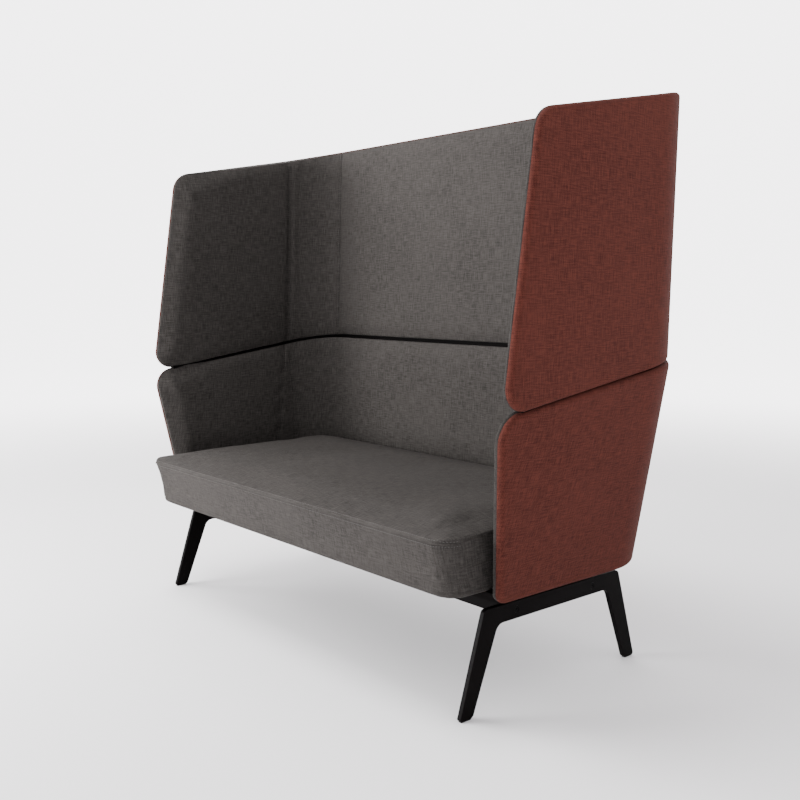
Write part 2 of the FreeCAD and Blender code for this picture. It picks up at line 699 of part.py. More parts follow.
def side_sketch(body, name, offset):
    """An empty sketch in side view, at an offset along X."""
    sketch = body.newObject("Sketcher::SketchObject", name)
    sketch.AttachmentSupport = [(origin_plane(body, "YZ_Plane"), "")]
    sketch.MapMode = "FlatFace"
    sketch.setExpression("AttachmentOffset.Base.z", offset)
    doc.recompute()
    return sketch


def hold(sketch, geometry, point, across, up):
    """Two dimensions from the sheet hold one point of a sketch's geometry."""
    for kind, expression in (("DistanceX", across), ("DistanceY", up)):
        held = Sketcher.Constraint(kind, -1, 1, geometry, point, value_of(expression))
        index = sketch.addConstraint(held)
        sketch.setExpression("Constraints[%d]" % index, expression)


def corner_sketch(body, name, corners):
    """A closed outline of straight lines, each corner held from the sheet."""
    sketch = side_sketch(body, name, "0")
    points = [Vector(value_of(across), value_of(up)) for across, up in corners]
    for a, b in zip(points, points[1:] + points[:1]):
        sketch.addGeometry(Part.LineSegment(a, b), False)
    for i, (across, up) in enumerate(corners):
        sketch.addConstraint(Sketcher.Constraint("Coincident", i - 1 if i else len(corners) - 1, 2, i, 1))
        hold(sketch, i, 1, across, up)
    return sketch


def circle_sketch(body, name, centres, radius, offset):
    sketch = side_sketch(body, name, offset)
    for i, (across, up) in enumerate(centres):
        centre = Vector(value_of(across), value_of(up))
        sketch.addGeometry(Part.Circle(centre, Vector(0, 0, 1), value_of(radius)), False)
        hold(sketch, i, 3, across, up)
        index = sketch.addConstraint(Sketcher.Constraint("Radius", i, value_of(radius)))
        sketch.setExpression("Constraints[%d]" % index, radius)
    return sketch


def edges_at(shape, test):
    return ["Edge%d" % (i + 1) for i, edge in enumerate(shape.Edges) if test(edge)]


BEAM_LOW = "(sizes.leg_top_height - sizes.leg_beam_depth)"
OUTER_SLOPE = "(sizes.leg_foot_half - sizes.leg_top_half) / sizes.leg_top_height"
OUTER_AT_FOOT = "(sizes.leg_foot_half - sizes.glide_height * %s)" % OUTER_SLOPE
OUTER_AT_BEAM = "(sizes.leg_foot_half - %s * %s)" % (BEAM_LOW, OUTER_SLOPE)
INNER_AT_FOOT = "(%s - sizes.leg_foot_width)" % OUTER_AT_FOOT
INNER_AT_BEAM = "(%s - sizes.leg_knee_width)" % OUTER_AT_BEAM
HALF_OUTLINE = [(OUTER_AT_FOOT, "sizes.glide_height"), (INNER_AT_FOOT, "sizes.glide_height"),
                (INNER_AT_BEAM, BEAM_LOW), ("sizes.leg_top_half", "sizes.leg_top_height")]
FOOT_OUTER, FOOT_INNER, KNEE, TOP = [
    [("(sizes.leg_middle_y + %d * %s)" % (sign, across), up) for sign in (-1, 1)]
    for across, up in HALF_OUTLINE]
LEG_CORNERS = [FOOT_OUTER[0], FOOT_INNER[0], KNEE[0], KNEE[1], FOOT_INNER[1], FOOT_OUTER[1], TOP[1], TOP[0]]
BOLT_CENTRES = [(place, "sizes.bolt_height") for place in RAIL_PLACES.values()]


def dress_up(body, kind, name, test, field, expression):
    """A fillet or chamfer on those edges of the body's last feature that pass a test."""
    base = body.Tip
    feature = body.newObject("PartDesign::" + kind, name)
    feature.Base = (base, edges_at(base.Shape, test))
    feature.setExpression(field, expression)
    doc.recompute()


def leg_frame(side):
    word = SIDES[side]
    body = doc.addObject("PartDesign::Body", "leg_frame_" + word)
    plate = body.newObject("PartDesign::Pad", "plate_" + word)
    plate.Profile = corner_sketch(body, "outline_" + word, LEG_CORNERS)
    plate.setExpression("Length", "sizes.leg_plate")
    doc.recompute()
    slack = 0.1

    def through_plate(edge):
        return edge.BoundBox.XLength > size("leg_plate") - slack

    def at_corners(corners):
        places = [(value_of(across), value_of(up)) for across, up in corners]

        def test(edge):
            centre = edge.CenterOfMass
            near = [math.hypot(centre.y - y, centre.z - z) < slack for y, z in places]
            return through_plate(edge) and any(near)
        return test

    def at_floor(edge):
        return through_plate(edge) and edge.BoundBox.ZMax < size("glide_height") + slack

    def at_rim(edge):
        return edge.BoundBox.XLength < slack and edge.BoundBox.ZMax > size("glide_height") + slack

    dress_up(body, "Fillet", "outer_rounding_" + word, at_corners(TOP), "Radius", "sizes.leg_outer_radius")
    dress_up(body, "Fillet", "inner_rounding_" + word, at_corners(KNEE), "Radius", "sizes.leg_inner_radius")
    dress_up(body, "Chamfer", "foot_chamfer_" + word, at_floor, "Size", "sizes.foot_chamfer")
    dress_up(body, "Fillet", "edge_break_" + word, at_rim, "Radius", "sizes.leg_edge_break")

    holes = body.newObject("PartDesign::Pocket", "bolt_holes_" + word)
    holes.Profile = circle_sketch(body, "hole_circles_" + word, BOLT_CENTRES, "sizes.bolt_radius", "0")
    holes.setExpression("Length", "3 * sizes.leg_plate")
    holes.Midplane = True
    doc.recompute()
    outer_side = "sizes.leg_plate" if side == 1 else "0"
    recess = body.newObject("PartDesign::Pocket", "head_recesses_" + word)
    recess.Profile = circle_sketch(body, "recess_circles_" + word, BOLT_CENTRES,
                                   "sizes.bolt_head_radius + sizes.recess_clearance", outer_side)
    recess.setExpression("Length", "sizes.recess_depth")
    recess.Reversed = side == -1
    doc.recompute()
    body.setExpression("Placement.Base.x", "%d * sizes.leg_face_x - %s" % (side, outer_side))
    return keep(body, "leg_frame_" + word)


def foot_glides():
    pieces = []
    lengths = ("sizes.glide_width", "sizes.glide_length", "sizes.glide_height")
    for side in SIDES:
        middle_x = "%d * (sizes.leg_face_x - sizes.leg_plate / 2)" % side
        for end in (0, 1):
            middle_y = "(%s + %s) / 2" % (FOOT_OUTER[end][0], FOOT_INNER[end][0])
            corner = (middle_x + " - sizes.glide_width / 2", middle_y + " - sizes.glide_length / 2", "0")
            pieces.append(block("glide", corner, lengths))
    group = doc.addObject("Part::Compound", "foot_glides")
    group.Links = pieces
    return keep(group, "foot_glides")


for side in SIDES:
    leg_frame(side)
foot_glides()
doc.recompute()

# Every object has to be sound before anything is written
for part in doc.Objects:
    if "Invalid" in part.State or "Error" in part.State:
        raise RuntimeError("%s failed" % part.Name)
for part in nodes:
    if part.Shape.isNull() or not part.Shape.isValid() or not part.Shape.Solids:
        raise RuntimeError("%s has no sound solid" % part.Label)

os.makedirs("parts", exist_ok=True)
box = FreeCAD.BoundBox()
for part in nodes:
    part.Shape.exportStep("parts/%s.step" % part.Label)
    box.add(part.Shape.optimalBoundingBox(False))
print("%d nodes, box %s" % (len(nodes), box))
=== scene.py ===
import json
import math

import bmesh
import bpy
from mathutils import Matrix, Vector


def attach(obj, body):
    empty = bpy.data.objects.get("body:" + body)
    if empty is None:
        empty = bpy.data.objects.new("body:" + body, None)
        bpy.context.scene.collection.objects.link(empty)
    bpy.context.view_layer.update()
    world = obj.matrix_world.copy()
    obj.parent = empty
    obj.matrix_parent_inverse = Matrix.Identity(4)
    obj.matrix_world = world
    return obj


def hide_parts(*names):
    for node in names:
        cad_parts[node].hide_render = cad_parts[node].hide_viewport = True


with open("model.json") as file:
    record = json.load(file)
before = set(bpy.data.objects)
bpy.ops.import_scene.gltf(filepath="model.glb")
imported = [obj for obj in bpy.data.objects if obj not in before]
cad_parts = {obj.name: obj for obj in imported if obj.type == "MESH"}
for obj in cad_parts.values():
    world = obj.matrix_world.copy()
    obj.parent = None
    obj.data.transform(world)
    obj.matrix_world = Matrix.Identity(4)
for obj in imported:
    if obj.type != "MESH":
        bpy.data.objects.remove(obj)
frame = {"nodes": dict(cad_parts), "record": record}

# A two-seat high back lounge sofa: woven covers on a shell in two tiers, padded inside,
# round a crowned seat with a twin-stitched front edge, on black plate leg frames.
# Metres, +Z up, the front faces -Y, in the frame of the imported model.

bl_info = {
    "name": "High back acoustic lounge sofa",
    "version": (1, 0, 0),
    "blender": (4, 5, 0),
    "location": "3D View > Sidebar > Lounge",
    "description": "Covers, pads, seat, stitching, finishes and studio of a two-tier lounge sofa",
    "category": "Object",
}

BODY = "root"
SIDES = (1, -1)
HAIR = 1e-5


# Sizes and colours that a user would change
def length(name, default, description):
    return bpy.props.FloatProperty(name=name, description=description, default=default,
                                   min=0.0, precision=4, subtype="DISTANCE", unit="LENGTH")


def tint(name, default, description):
    return bpy.props.FloatVectorProperty(name=name, description=description, default=default,
                                         size=3, min=0.0, max=1.0, subtype="COLOR")


class ShellSettings(bpy.types.PropertyGroup):
    """Sizes of the upholstered shell."""
    cover_depth: length("Cover depth", 0.014, "Outer face to the joint with the inner pad")
    upper_pad: length("Upper pad", 0.026, "Thickness of the upper inner pad")
    lower_pad: length("Lower pad", 0.032, "Thickness of the lower inner pad")
    cover_roll: length("Cover roll", 0.0115, "Rounding of the outer cover's rim")
    pad_roll: length("Pad roll", 0.006, "Rounding of the inner pad's rim")
    pad_swell: length("Pad swell", 0.006, "How far the pads may puff out")
    pad_rim: length("Pad rim", 0.006, "Thickness of the pads at the wing fronts")
    pillow: length("Pillow roll", 0.045, "Width over which the wing pads reach full thickness")
    seam_depth: length("Seam depth", 0.0048, "Depth of the sewn vertical seams")


class SeatSettings(bpy.types.PropertyGroup):
    """Sizes of the seat cushion and its sewing."""
    crown: length("Crown", 0.028, "Rise of the top before it puffs out")
    swell: length("Swell", 0.007, "How far the cushion may puff out")
    edge_roll: length("Edge roll", 0.0045, "Rounding of the top edge under the welt")
    welt_width: length("Welt width", 0.0055, "Width of the flat welt on the front edge")
    seam_lift: length("Seam lift", 0.016, "Lower seam above the cushion's bottom edge")
    stitch_pitch: length("Stitch pitch", 0.0065, "Distance from stitch to stitch")
    stitch_length: length("Stitch length", 0.0048, "Length of a stitch")


class ColourSettings(bpy.types.PropertyGroup):
    """Colours of the cloths, the thread and the metal."""
    rust_dark: tint("Rust, dark yarn", (0.0250, 0.0064, 0.0050), "Dark yarn of the outer cloth")
    rust_light: tint("Rust, light yarn", (0.0900, 0.0246, 0.0176), "Light yarn of the outer cloth")
    grey_dark: tint("Grey, dark yarn", (0.0130, 0.0115, 0.0106), "Dark yarn of the inner cloth")
    grey_light: tint("Grey, light yarn", (0.0510, 0.0464, 0.0434), "Light yarn of the inner cloth")
    # The seat's edge thread is real, but its light tone is partly painted highlight along the welt's edges
    thread: tint("Thread", (0.085, 0.080, 0.078), "Sewing thread")
    # The pads' seam thread is real, but its dark tone is partly painted shade of the seam grooves
    thread_and_seam_shade: tint("Dark thread", (0.010, 0.009, 0.009), "Thread of the pads' vertical seams")
    black: tint("Black", (0.0020, 0.0015, 0.0015), "Powder coat of the leg frames")
    floor: tint("Floor", (0.83, 0.82, 0.83), "Studio floor and backdrop")


def power(name, default, description):
    return bpy.props.FloatProperty(name=name, description=description, default=default,
                                   min=0.0, subtype="POWER", unit="POWER")


def strength(name, default, description):
    return bpy.props.FloatProperty(name=name, description=description, default=default,
                                   min=0.0, subtype="NONE", unit="NONE")


class StudioSettings(bpy.types.PropertyGroup):
    """Lights of the studio."""
    key: power("Key light", 165.0, "Large soft light low at the front left")
    side: power("Side light", 240.0, "Soft light from the left")
    top: power("Top light", 250.0, "Soft light from above the front edge")
    sky: strength("Sky", 1.36, "Even light from all round")
    glow: strength("Backdrop glow", 3.0, "Light of the far floor and the wall behind")


GROUPS = {"lounge_shell": ShellSettings, "lounge_seat": SeatSettings,
          "lounge_colours": ColourSettings, "lounge_studio": StudioSettings}


# Hand tools: selection, edit mode and modifiers
def alone(*pieces):
    for other in list(bpy.context.selected_objects):
        other.select_set(False)
    for piece in pieces:
        piece.select_set(True)
        bpy.context.view_layer.objects.active = piece


def new_piece(name, add, **settings):
    """A primitive as a piece of its own, its place moved into its mesh."""
    alone()
    add(**settings)
    piece = bpy.context.object
    piece.name = name
    piece.data.name = name
    bpy.ops.object.transform_apply(location=True, rotation=True, scale=True)
    return piece


class Bench:
    """Edit mode on one piece, with parts of its mesh chosen by a test."""

    def __init__(self, piece):
        self.piece = piece

    def __enter__(self):
        alone(self.piece)
        bpy.ops.object.mode_set(mode="EDIT")
        return self

    def __exit__(self, *fault):
        bpy.ops.object.mode_set(mode="OBJECT")

    def choose(self, kind, test):
        bpy.ops.mesh.select_mode(type=kind)
        bpy.ops.mesh.select_all(action="DESELECT")
        mesh = bmesh.from_edit_mesh(self.piece.data)
        parts = {"VERT": mesh.verts, "EDGE": mesh.edges, "FACE": mesh.faces}[kind]
        chosen = [part for part in parts if test(part)]
        for part in chosen:
            part.select_set(True)
        mesh.select_flush_mode()
        bmesh.update_edit_mesh(self.piece.data)
        if not chosen:
            raise RuntimeError("nothing to work on in %s" % self.piece.name)

    def trim(self, planes, fill=False):
        """Cut away what lies in front of each plane, a point and an outward normal."""
        for point, normal in planes:
            bpy.ops.mesh.select_all(action="SELECT")
            bpy.ops.mesh.bisect(plane_co=point, plane_no=normal, use_fill=fill,
                                clear_outer=True, threshold=HAIR)

    def rule(self, axis, places, test=None):
        """Draw lines across the chosen faces, or all faces, at places along an axis."""
        normal = Vector([float(axis == i) for i in range(3)])
        for place in places:
            if test:
                self.choose("FACE", test)
            else:
                bpy.ops.mesh.select_all(action="SELECT")
            bpy.ops.mesh.bisect(plane_co=normal * place, plane_no=normal, threshold=HAIR)

    def weld(self, distance):
        bpy.ops.mesh.select_all(action="SELECT")
        bpy.ops.mesh.remove_doubles(threshold=distance)
        bpy.ops.mesh.normals_make_consistent(inside=False)

    def turn_out(self):
        """Turn a wall's faces outwards, judged by the back."""
        faces = bmesh.from_edit_mesh(self.piece.data).faces
        if max(faces, key=lambda face: abs(face.normal.y)).normal.y < 0:
            bpy.ops.mesh.flip_normals()


def apply_modifier(piece, kind, **settings):
    modifier = piece.modifiers.new(kind.title(), kind)
    for name, value in settings.items():
        setattr(modifier, name, value)
    alone(piece)
    bpy.ops.object.modifier_apply(modifier=modifier.name)


def smooth(piece, angle=math.radians(40)):
    alone(piece)
    bpy.ops.object.shade_smooth_by_angle(angle=angle)


def steps(low, high, pitch):
    count = max(1, round((high - low) / pitch))
    return [low + (high - low) * i / count for i in range(1, count)]


# Shape of the two tiers
PLAN_RADIUS = 0.180
FRONT = -0.420
CORNER_STEPS = 20
ARC_STEPS = 8
GAP = 0.0036
GRID = 0.013


def between(at, low_at, low, high_at, high):
    return low + (high - low) * (at - low_at) / (high_at - low_at)


def gap_height(y):
    return between(y, -0.303, 0.661, 0.356, 0.760)


def top_height(y):
    return between(y, -0.214, 1.268, 0.373, 1.378)


def arc_planes(corners, radii, lift):
    """Tangent planes of a convex outline with rounded corners, corners counter-clockwise."""
    planes = []
    count = len(corners)
    for i, corner in enumerate(corners):
        before, after = corners[i - 1], corners[(i + 1) % count]
        inward = ((before - corner).normalized() + (after - corner).normalized()).normalized()
        half_angle = (before - corner).angle(after - corner) / 2
        centre = corner + inward * (radii[i] / math.sin(half_angle))
        arriving, leaving = (corner - before).normalized(), (after - corner).normalized()
        start, end = Vector((arriving.y, -arriving.x)), Vector((leaving.y, -leaving.x))
        for k in range(1, ARC_STEPS + 1) if radii[i] else [ARC_STEPS]:
            turn = start.angle_signed(end) * k / ARC_STEPS
            normal = start.copy()
            normal.rotate(Matrix.Rotation(-turn, 2))
            planes.append(lift(centre + normal * radii[i], normal))
    return planes


def side_lift(point, normal):
    return Vector((0, point.x, point.y)), Vector((0, normal.x, normal.y))


class Tier:
    """One storey of the shell: its faces at a height, and its outline in side view."""

    def __init__(self, name, reach, halves, backs, corners, radii):
        self.name = name
        self.bottom, self.top = reach
        self.halves, self.backs = halves, backs
        self.corners = [Vector(corner) for corner in corners]
        self.radii = radii

    def half(self, z):
        return between(z, *self.halves)

    def back(self, z):
        return between(z, *self.backs)

    def seams(self):
        return SEAMS[self.name]

    def trim_planes(self):
        return arc_planes(self.corners, self.radii, side_lift)

    def along(self, point, depth):
        """Length along the wall in plan, from the middle of the back."""
        radius = PLAN_RADIUS
        half, back = self.half(point.z), self.back(point.z)
        x, y = abs(point.x) - (half - radius), point.y - (back - radius)
        side = 1 if point.x > 0 else -1
        if x <= 0:
            return point.x
        if y >= 0:
            return side * (half - radius + math.atan2(x, y) * (radius - depth))
        return side * (half - radius + math.pi / 2 * (radius - depth) - y)

    def depth(self, point):
        half, back = self.half(point.z), self.back(point.z)
        x, y = abs(point.x) - (half - PLAN_RADIUS), point.y - (back - PLAN_RADIUS)
        if x > 0 and y > 0:
            return PLAN_RADIUS - math.hypot(x, y)
        return PLAN_RADIUS - max(x, y)

    def outward(self, point):
        """Direction out of the wall in plan."""
        half, back = self.half(point.z), self.back(point.z)
        x, y = abs(point.x) - (half - PLAN_RADIUS), point.y - (back - PLAN_RADIUS)
        side = 1 if point.x > 0 else -1
        if x > 0 and y > 0:
            return Vector((side * x, y, 0)).normalized()
        return Vector((side, 0, 0)) if x > y else Vector((0, 1, 0))


FAR_Y = 0.9
LOWER = Tier("lower", (0.246, 0.775), (0.256, 0.690, 0.760, 0.766), (0.256, 0.330, 0.760, 0.356),
             [(-0.245, 0.256), (FAR_Y, 0.256), (FAR_Y, gap_height(FAR_Y) - GAP / 2),
              (-0.308, gap_height(-0.308) - GAP / 2)], [0.026, 0, 0, 0.058])
UPPER_HALVES = (0.760, 0.757, 1.378, 0.757)
UPPER_BACKS = (0.760, 0.356, 1.378, 0.373)
UPPER = Tier("upper", (0.645, 1.395), UPPER_HALVES, UPPER_BACKS,
             [(-0.303, gap_height(-0.303) + GAP / 2), (FAR_Y, gap_height(FAR_Y) + GAP / 2),
              (FAR_Y, top_height(FAR_Y)), (-0.214, 1.268)],
             [0.048, 0, 0, 0.062])
TIERS = {"lower": LOWER, "upper": UPPER}

# Sewn vertical seams of the pads, as lengths along the wall from the middle of the back
SEAMS = {"upper": (0.607, 0.792), "lower": (0.804,)}
SEAM_HALF = 0.0052
SEAM_LINES = (-0.0105, -0.0075, -SEAM_HALF, -0.0028, 0.0028, SEAM_HALF, 0.0075, 0.0105)


def wall_sheet(name, tier, depth, grid=None):
    """One face of a tier's wall as an open sheet, at a depth behind the outer face."""
    half_low, half_high = tier.half(tier.bottom) - depth, tier.half(tier.top) - depth
    back_low, back_high = tier.back(tier.bottom) - depth, tier.back(tier.top) - depth
    middle = (0, (FRONT + back_low) / 2, (tier.bottom + tier.top) / 2)
    sheet = new_piece(name, bpy.ops.mesh.primitive_cube_add, size=1, location=middle,
                      scale=(2 * half_low, back_low - FRONT, tier.top - tier.bottom))
    with Bench(sheet) as bench:
        bench.choose("FACE", lambda face: face.normal.z > 0.9)
        bpy.ops.transform.resize(value=(half_high / half_low, 1, 1), center_override=(0, 0, 0))
        bench.choose("VERT", lambda vert: vert.co.z > middle[2] and vert.co.y > 0)
        bpy.ops.transform.translate(value=(0, back_high - back_low, 0))
        bench.choose("EDGE", lambda edge: abs(edge.verts[0].co.z - edge.verts[1].co.z) > 0.1
                     and min(vert.co.y for vert in edge.verts) > 0)
        bpy.ops.mesh.bevel(offset=PLAN_RADIUS - depth, offset_type="OFFSET",
                           segments=CORNER_STEPS, affect="EDGES")
        bench.choose("FACE", lambda face: face.normal.y < -0.9 or abs(face.normal.z) > 0.9)
        bpy.ops.mesh.delete(type="FACE")
        if grid:
            reach = tier.half(tier.top) - PLAN_RADIUS
            bench.rule(0, steps(-reach, reach, grid), lambda face: face.normal.y > 0.99)
            bench.rule(1, steps(FRONT, tier.back(tier.top) - PLAN_RADIUS, grid),
                       lambda face: abs(face.normal.x) > 0.97 and abs(face.normal.y) < 0.02)
            bench.rule(2, steps(tier.bottom, tier.top, grid))
        bench.trim(tier.trim_planes())
        bench.weld(0.0015 if grid else HAIR)
        bench.turn_out()
    return sheet


def thicken(sheet, thickness, roll, roll_steps, rolled_shell):
    """Give a sheet its thickness inwards and roll the rim of one of its two faces."""
    for i in range(3):
        sheet.data.materials.append(None)
    apply_modifier(sheet, "SOLIDIFY", thickness=thickness, offset=-1, use_even_offset=True,
                   material_offset=2, material_offset_rim=1)
    with Bench(sheet) as bench:
        bench.choose("EDGE", lambda edge: {face.material_index for face in edge.link_faces}
                     == {1, rolled_shell})
        bpy.ops.mesh.bevel(offset=roll, offset_type="OFFSET", segments=roll_steps,
                           affect="EDGES", clamp_overlap=True)


def lay_cloth(piece, spot):
    """Lay the weave: spot gives the place on the cloth of a point on a face with a normal."""
    layer = piece.data.uv_layers.new(name="Weave")
    vertices, loops = piece.data.vertices, piece.data.loops
    for polygon in piece.data.polygons:
        for index in polygon.loop_indices:
            layer.data[index].uv = spot(vertices[loops[index].vertex_index].co, polygon.normal)


def wall_spot(tier, depth):
    def spot(point, normal):
        across, up = abs(normal.dot(tier.outward(point))), abs(normal.z)
        if across > 0.6:
            return tier.along(point, depth), point.z
        if up > 0.6:
            return tier.along(point, depth), point.z + tier.depth(point)
        return tier.along(point, depth) + tier.depth(point), point.z
    return spot


def finish_piece(piece, finish, slot, *nodes):
    piece.data.materials.clear()
    piece.data.materials.append(finish)
    for polygon in piece.data.polygons:
        polygon.material_index = 0
    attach(piece, BODY)
    if nodes:
        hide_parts(*nodes)
    return piece


# Padding: cloth that is blown up from inside and may only move so far
PUFF_FRAMES = 20


def puff(piece, held, room):
    """held gives how firmly a point is pinned, and room how far it may move."""
    rest = [vert.co.copy() for vert in piece.data.vertices]
    group = piece.vertex_groups.new(name="held")
    for vert in piece.data.vertices:
        group.add([vert.index], held(vert.co), "REPLACE")
    modifier = piece.modifiers.new("Cloth", "CLOTH")
    cloth = modifier.settings
    cloth.quality = 5
    cloth.mass = 0.3
    cloth.tension_stiffness = 15
    cloth.compression_stiffness = 15
    cloth.shear_stiffness = 8
    cloth.bending_stiffness = 0.8
    cloth.use_pressure = True
    cloth.uniform_pressure_force = 4
    cloth.vertex_group_mass = group.name
    cloth.effector_weights.gravity = 0
    modifier.collision_settings.use_collision = False
    modifier.point_cache.frame_start = 1
    modifier.point_cache.frame_end = PUFF_FRAMES
    for number in range(1, PUFF_FRAMES + 1):
        bpy.context.scene.frame_set(number)
    alone(piece)
    bpy.ops.object.modifier_apply(modifier=modifier.name)
    for vert, start in zip(piece.data.vertices, rest):
        move = vert.co - start
        limit = room(start)
        if move.length > 0:
            vert.co = start + move.normalized() * limit * math.tanh(move.length / max(limit, HAIR))
    bpy.context.scene.frame_set(1)
    piece.vertex_groups.clear()


def ease(value, low, high):
    """From 0 at low to 1 at high with soft ends."""
    part = min(max((value - low) / (high - low), 0), 1)
    return part * part * (3 - 2 * part)


def sink(piece, test, depth, width):
    """Press a seam into a pad: test gives the distance to the seam and the way in."""
    for vert in piece.data.vertices:
        found = test(vert.co)
        if found:
            distance, inward = found
            vert.co += inward * depth * math.exp(-(distance / width) ** 2)


SEAT_LINE = 0.42
LOWER_RIM_SHARE = 1.4
FACES_FRONT = -0.25


def taper_front(pad, tier, thickness, settings):
    """Thin a wing pad towards its front edge, as a pillow thins towards its seam."""
    rim = settings.pad_rim * (1 if tier is UPPER else LOWER_RIM_SHARE) / thickness
    front_planes = [(point, normal) for point, normal in tier.trim_planes() if normal.y < FACES_FRONT]
    for vert in pad.data.vertices:
        inside = min((point - vert.co).dot(normal) for point, normal in front_planes)
        fullness = rim + (1 - rim) * math.sin(math.pi / 2 * min(max(inside / settings.pillow, 0), 1))
        vert.co += tier.outward(vert.co) * (tier.depth(vert.co) - settings.cover_depth) * (1 - fullness)


def inner_pad(tier, thickness, finish, settings):
    cover = settings.cover_depth
    pad = wall_sheet("%s_inner_pad" % tier.name, tier, cover, GRID)
    rule_seams(pad, tier, cover)
    thicken(pad, thickness, settings.pad_roll, 3, 2)
    lay_cloth(pad, wall_spot(tier, cover + thickness))
    taper_front(pad, tier, thickness, settings)

    def held(point):
        return 1 if tier.depth(point) < cover + 0.001 else 0

    def room(point):
        free = ease(tier.depth(point) - cover, 0.25 * thickness, 0.9 * thickness)
        return settings.pad_swell * free * ease(point.z, SEAT_LINE - 0.03, SEAT_LINE + 0.05)
    puff(pad, held, room)

    def seam(point):
        if tier.depth(point) < cover + 0.5 * thickness:
            return None
        place = abs(tier.along(point, cover + thickness))
        return min(abs(abs(place - seam) - SEAM_HALF) for seam in tier.seams()), tier.outward(point)
    sink(pad, seam, settings.seam_depth, 0.0026)
    apply_modifier(pad, "SUBSURF", levels=1, render_levels=1, uv_smooth="NONE")
    smooth(pad)
    nodes = ["%s_inner_cover" % tier.name, "%s_inner_foam" % tier.name]
    return finish_piece(pad, finish, "inner_fabric", *nodes)


def rule_seams(sheet, tier, depth):
    """Lines in the sheet on both sides of each seam, so that the sewing stays crisp."""
    z = (tier.bottom + tier.top) / 2
    with Bench(sheet) as bench:
        for seam in tier.seams():
            for shift in SEAM_LINES:
                for side in SIDES:
                    point, normal = tier_spot(tier, side * (seam + shift), z, depth)
                    bench.choose("FACE", lambda face: face.calc_center_median().x * side > 0.4)
                    bpy.ops.mesh.bisect(plane_co=point, plane_no=normal, threshold=HAIR)
        bench.weld(0.0007)
        bench.turn_out()


def tier_spot(tier, place, z, depth):
    """Point of a wall's face at a length along it, and the direction along the wall."""
    side = 1 if place > 0 else -1
    radius = PLAN_RADIUS - depth
    straight, rear = tier.half(z) - PLAN_RADIUS, tier.back(z) - PLAN_RADIUS
    rest = abs(place) - straight
    arc = math.pi / 2 * radius
    if rest <= 0:
        return Vector((place, rear + radius, z)), Vector((1, 0, 0))
    if rest < arc:
        turn = rest / radius
        point = Vector((side * (straight + radius * math.sin(turn)), rear + radius * math.cos(turn), z))
        return point, Vector((side * math.cos(turn), -math.sin(turn), 0))
    return Vector((side * (straight + radius), rear - (rest - arc), z)), Vector((0, -1, 0))


STRIP_LAP = 0.005
STRIP_FRONT = -0.245
STRIP = Tier("gap", (0.62, 0.80), UPPER_HALVES, UPPER_BACKS,
             [(STRIP_FRONT, gap_height(STRIP_FRONT) - STRIP_LAP), (FAR_Y, gap_height(FAR_Y) - STRIP_LAP),
              (FAR_Y, gap_height(FAR_Y) + STRIP_LAP), (STRIP_FRONT, gap_height(STRIP_FRONT) + STRIP_LAP)],
             [0, 0, 0, 0])


def gap_strip(finish):
    """A strip that fills the gap between the tiers, set back from both faces; its black is painted shade
    for the dark gap.
    """
    strip = wall_sheet("tier_gap_strip", STRIP, 0.013)
    apply_modifier(strip, "SOLIDIFY", thickness=0.018, offset=-1, use_even_offset=True)
    smooth(strip)
    return finish_piece(strip, finish, "black_cloth")


def outer_cover(tier, finish, settings):
    cover = wall_sheet("%s_outer_shell" % tier.name, tier, 0)
    thicken(cover, settings.cover_depth, settings.cover_roll, 6, 0)
    lay_cloth(cover, wall_spot(tier, 0))
    smooth(cover)
    return finish_piece(cover, finish, "outer_fabric", "%s_outer_cover" % tier.name)


# Seat cushion
SEAT_FLOOR = 0.274
SEAT_EDGE = 0.398
SEAT_HALF = 0.646
SEAT_TAPER = -0.190
SEAT_CORNER = 0.050
TAPER_RADIUS = 0.15
SEAT_AIR = 0.0015
RUN_MIDDLE = 0.05
SEAT_GRID = 0.013


def seat_front(z):
    return between(z, SEAT_FLOOR, -0.344, SEAT_EDGE, -0.3705)


def seat_side(z, pad):
    return LOWER.half(z) - pad - SEAT_AIR


def seat_rear(z, pad):
    return LOWER.back(z) - pad - SEAT_AIR


def seat_corners(z, pad):
    half, rear, front = seat_side(z, pad), seat_rear(z, pad), seat_front(z)
    return [Vector(corner) for corner in ((-SEAT_HALF, front), (SEAT_HALF, front), (half, SEAT_TAPER),
                                          (half, rear), (-half, rear), (-half, SEAT_TAPER))]


def seat_planes(pad):
    """Planes that lean from the outline on the seat's floor to the one at its top edge."""
    radius = PLAN_RADIUS - pad
    radii = [SEAT_CORNER, SEAT_CORNER, TAPER_RADIUS, radius, radius, TAPER_RADIUS]

    def flat(point, normal):
        return point, normal
    low = arc_planes(seat_corners(SEAT_FLOOR, pad), radii, flat)
    high = arc_planes(seat_corners(SEAT_EDGE, pad), radii, flat)
    planes = []
    for (low_point, normal), (high_point, _) in zip(low, high):
        lean = normal.dot(high_point - low_point) / (SEAT_EDGE - SEAT_FLOOR)
        planes.append((Vector((low_point.x, low_point.y, SEAT_FLOOR)),
                       Vector((normal.x, normal.y, -lean)).normalized()))
    return planes


CROWN_FRONT = 0.26
CROWN_WALL = 0.12
GAUGE_POWER = 10


def seat_gauge(point, pad):
    """1 on the seat's outline and 0 in its middle."""
    corners = seat_corners(SEAT_EDGE, pad)
    middle = Vector((0, (corners[0].y + corners[3].y) / 2))
    spot = Vector((point.x, point.y))
    total = 0
    for a, b in zip(corners, corners[1:] + corners[:1]):
        along = (b - a).normalized()
        normal = Vector((along.y, -along.x))
        total += max(normal.dot(spot - middle) / normal.dot(a - middle), 0) ** GAUGE_POWER
    return total ** (1 / GAUGE_POWER)


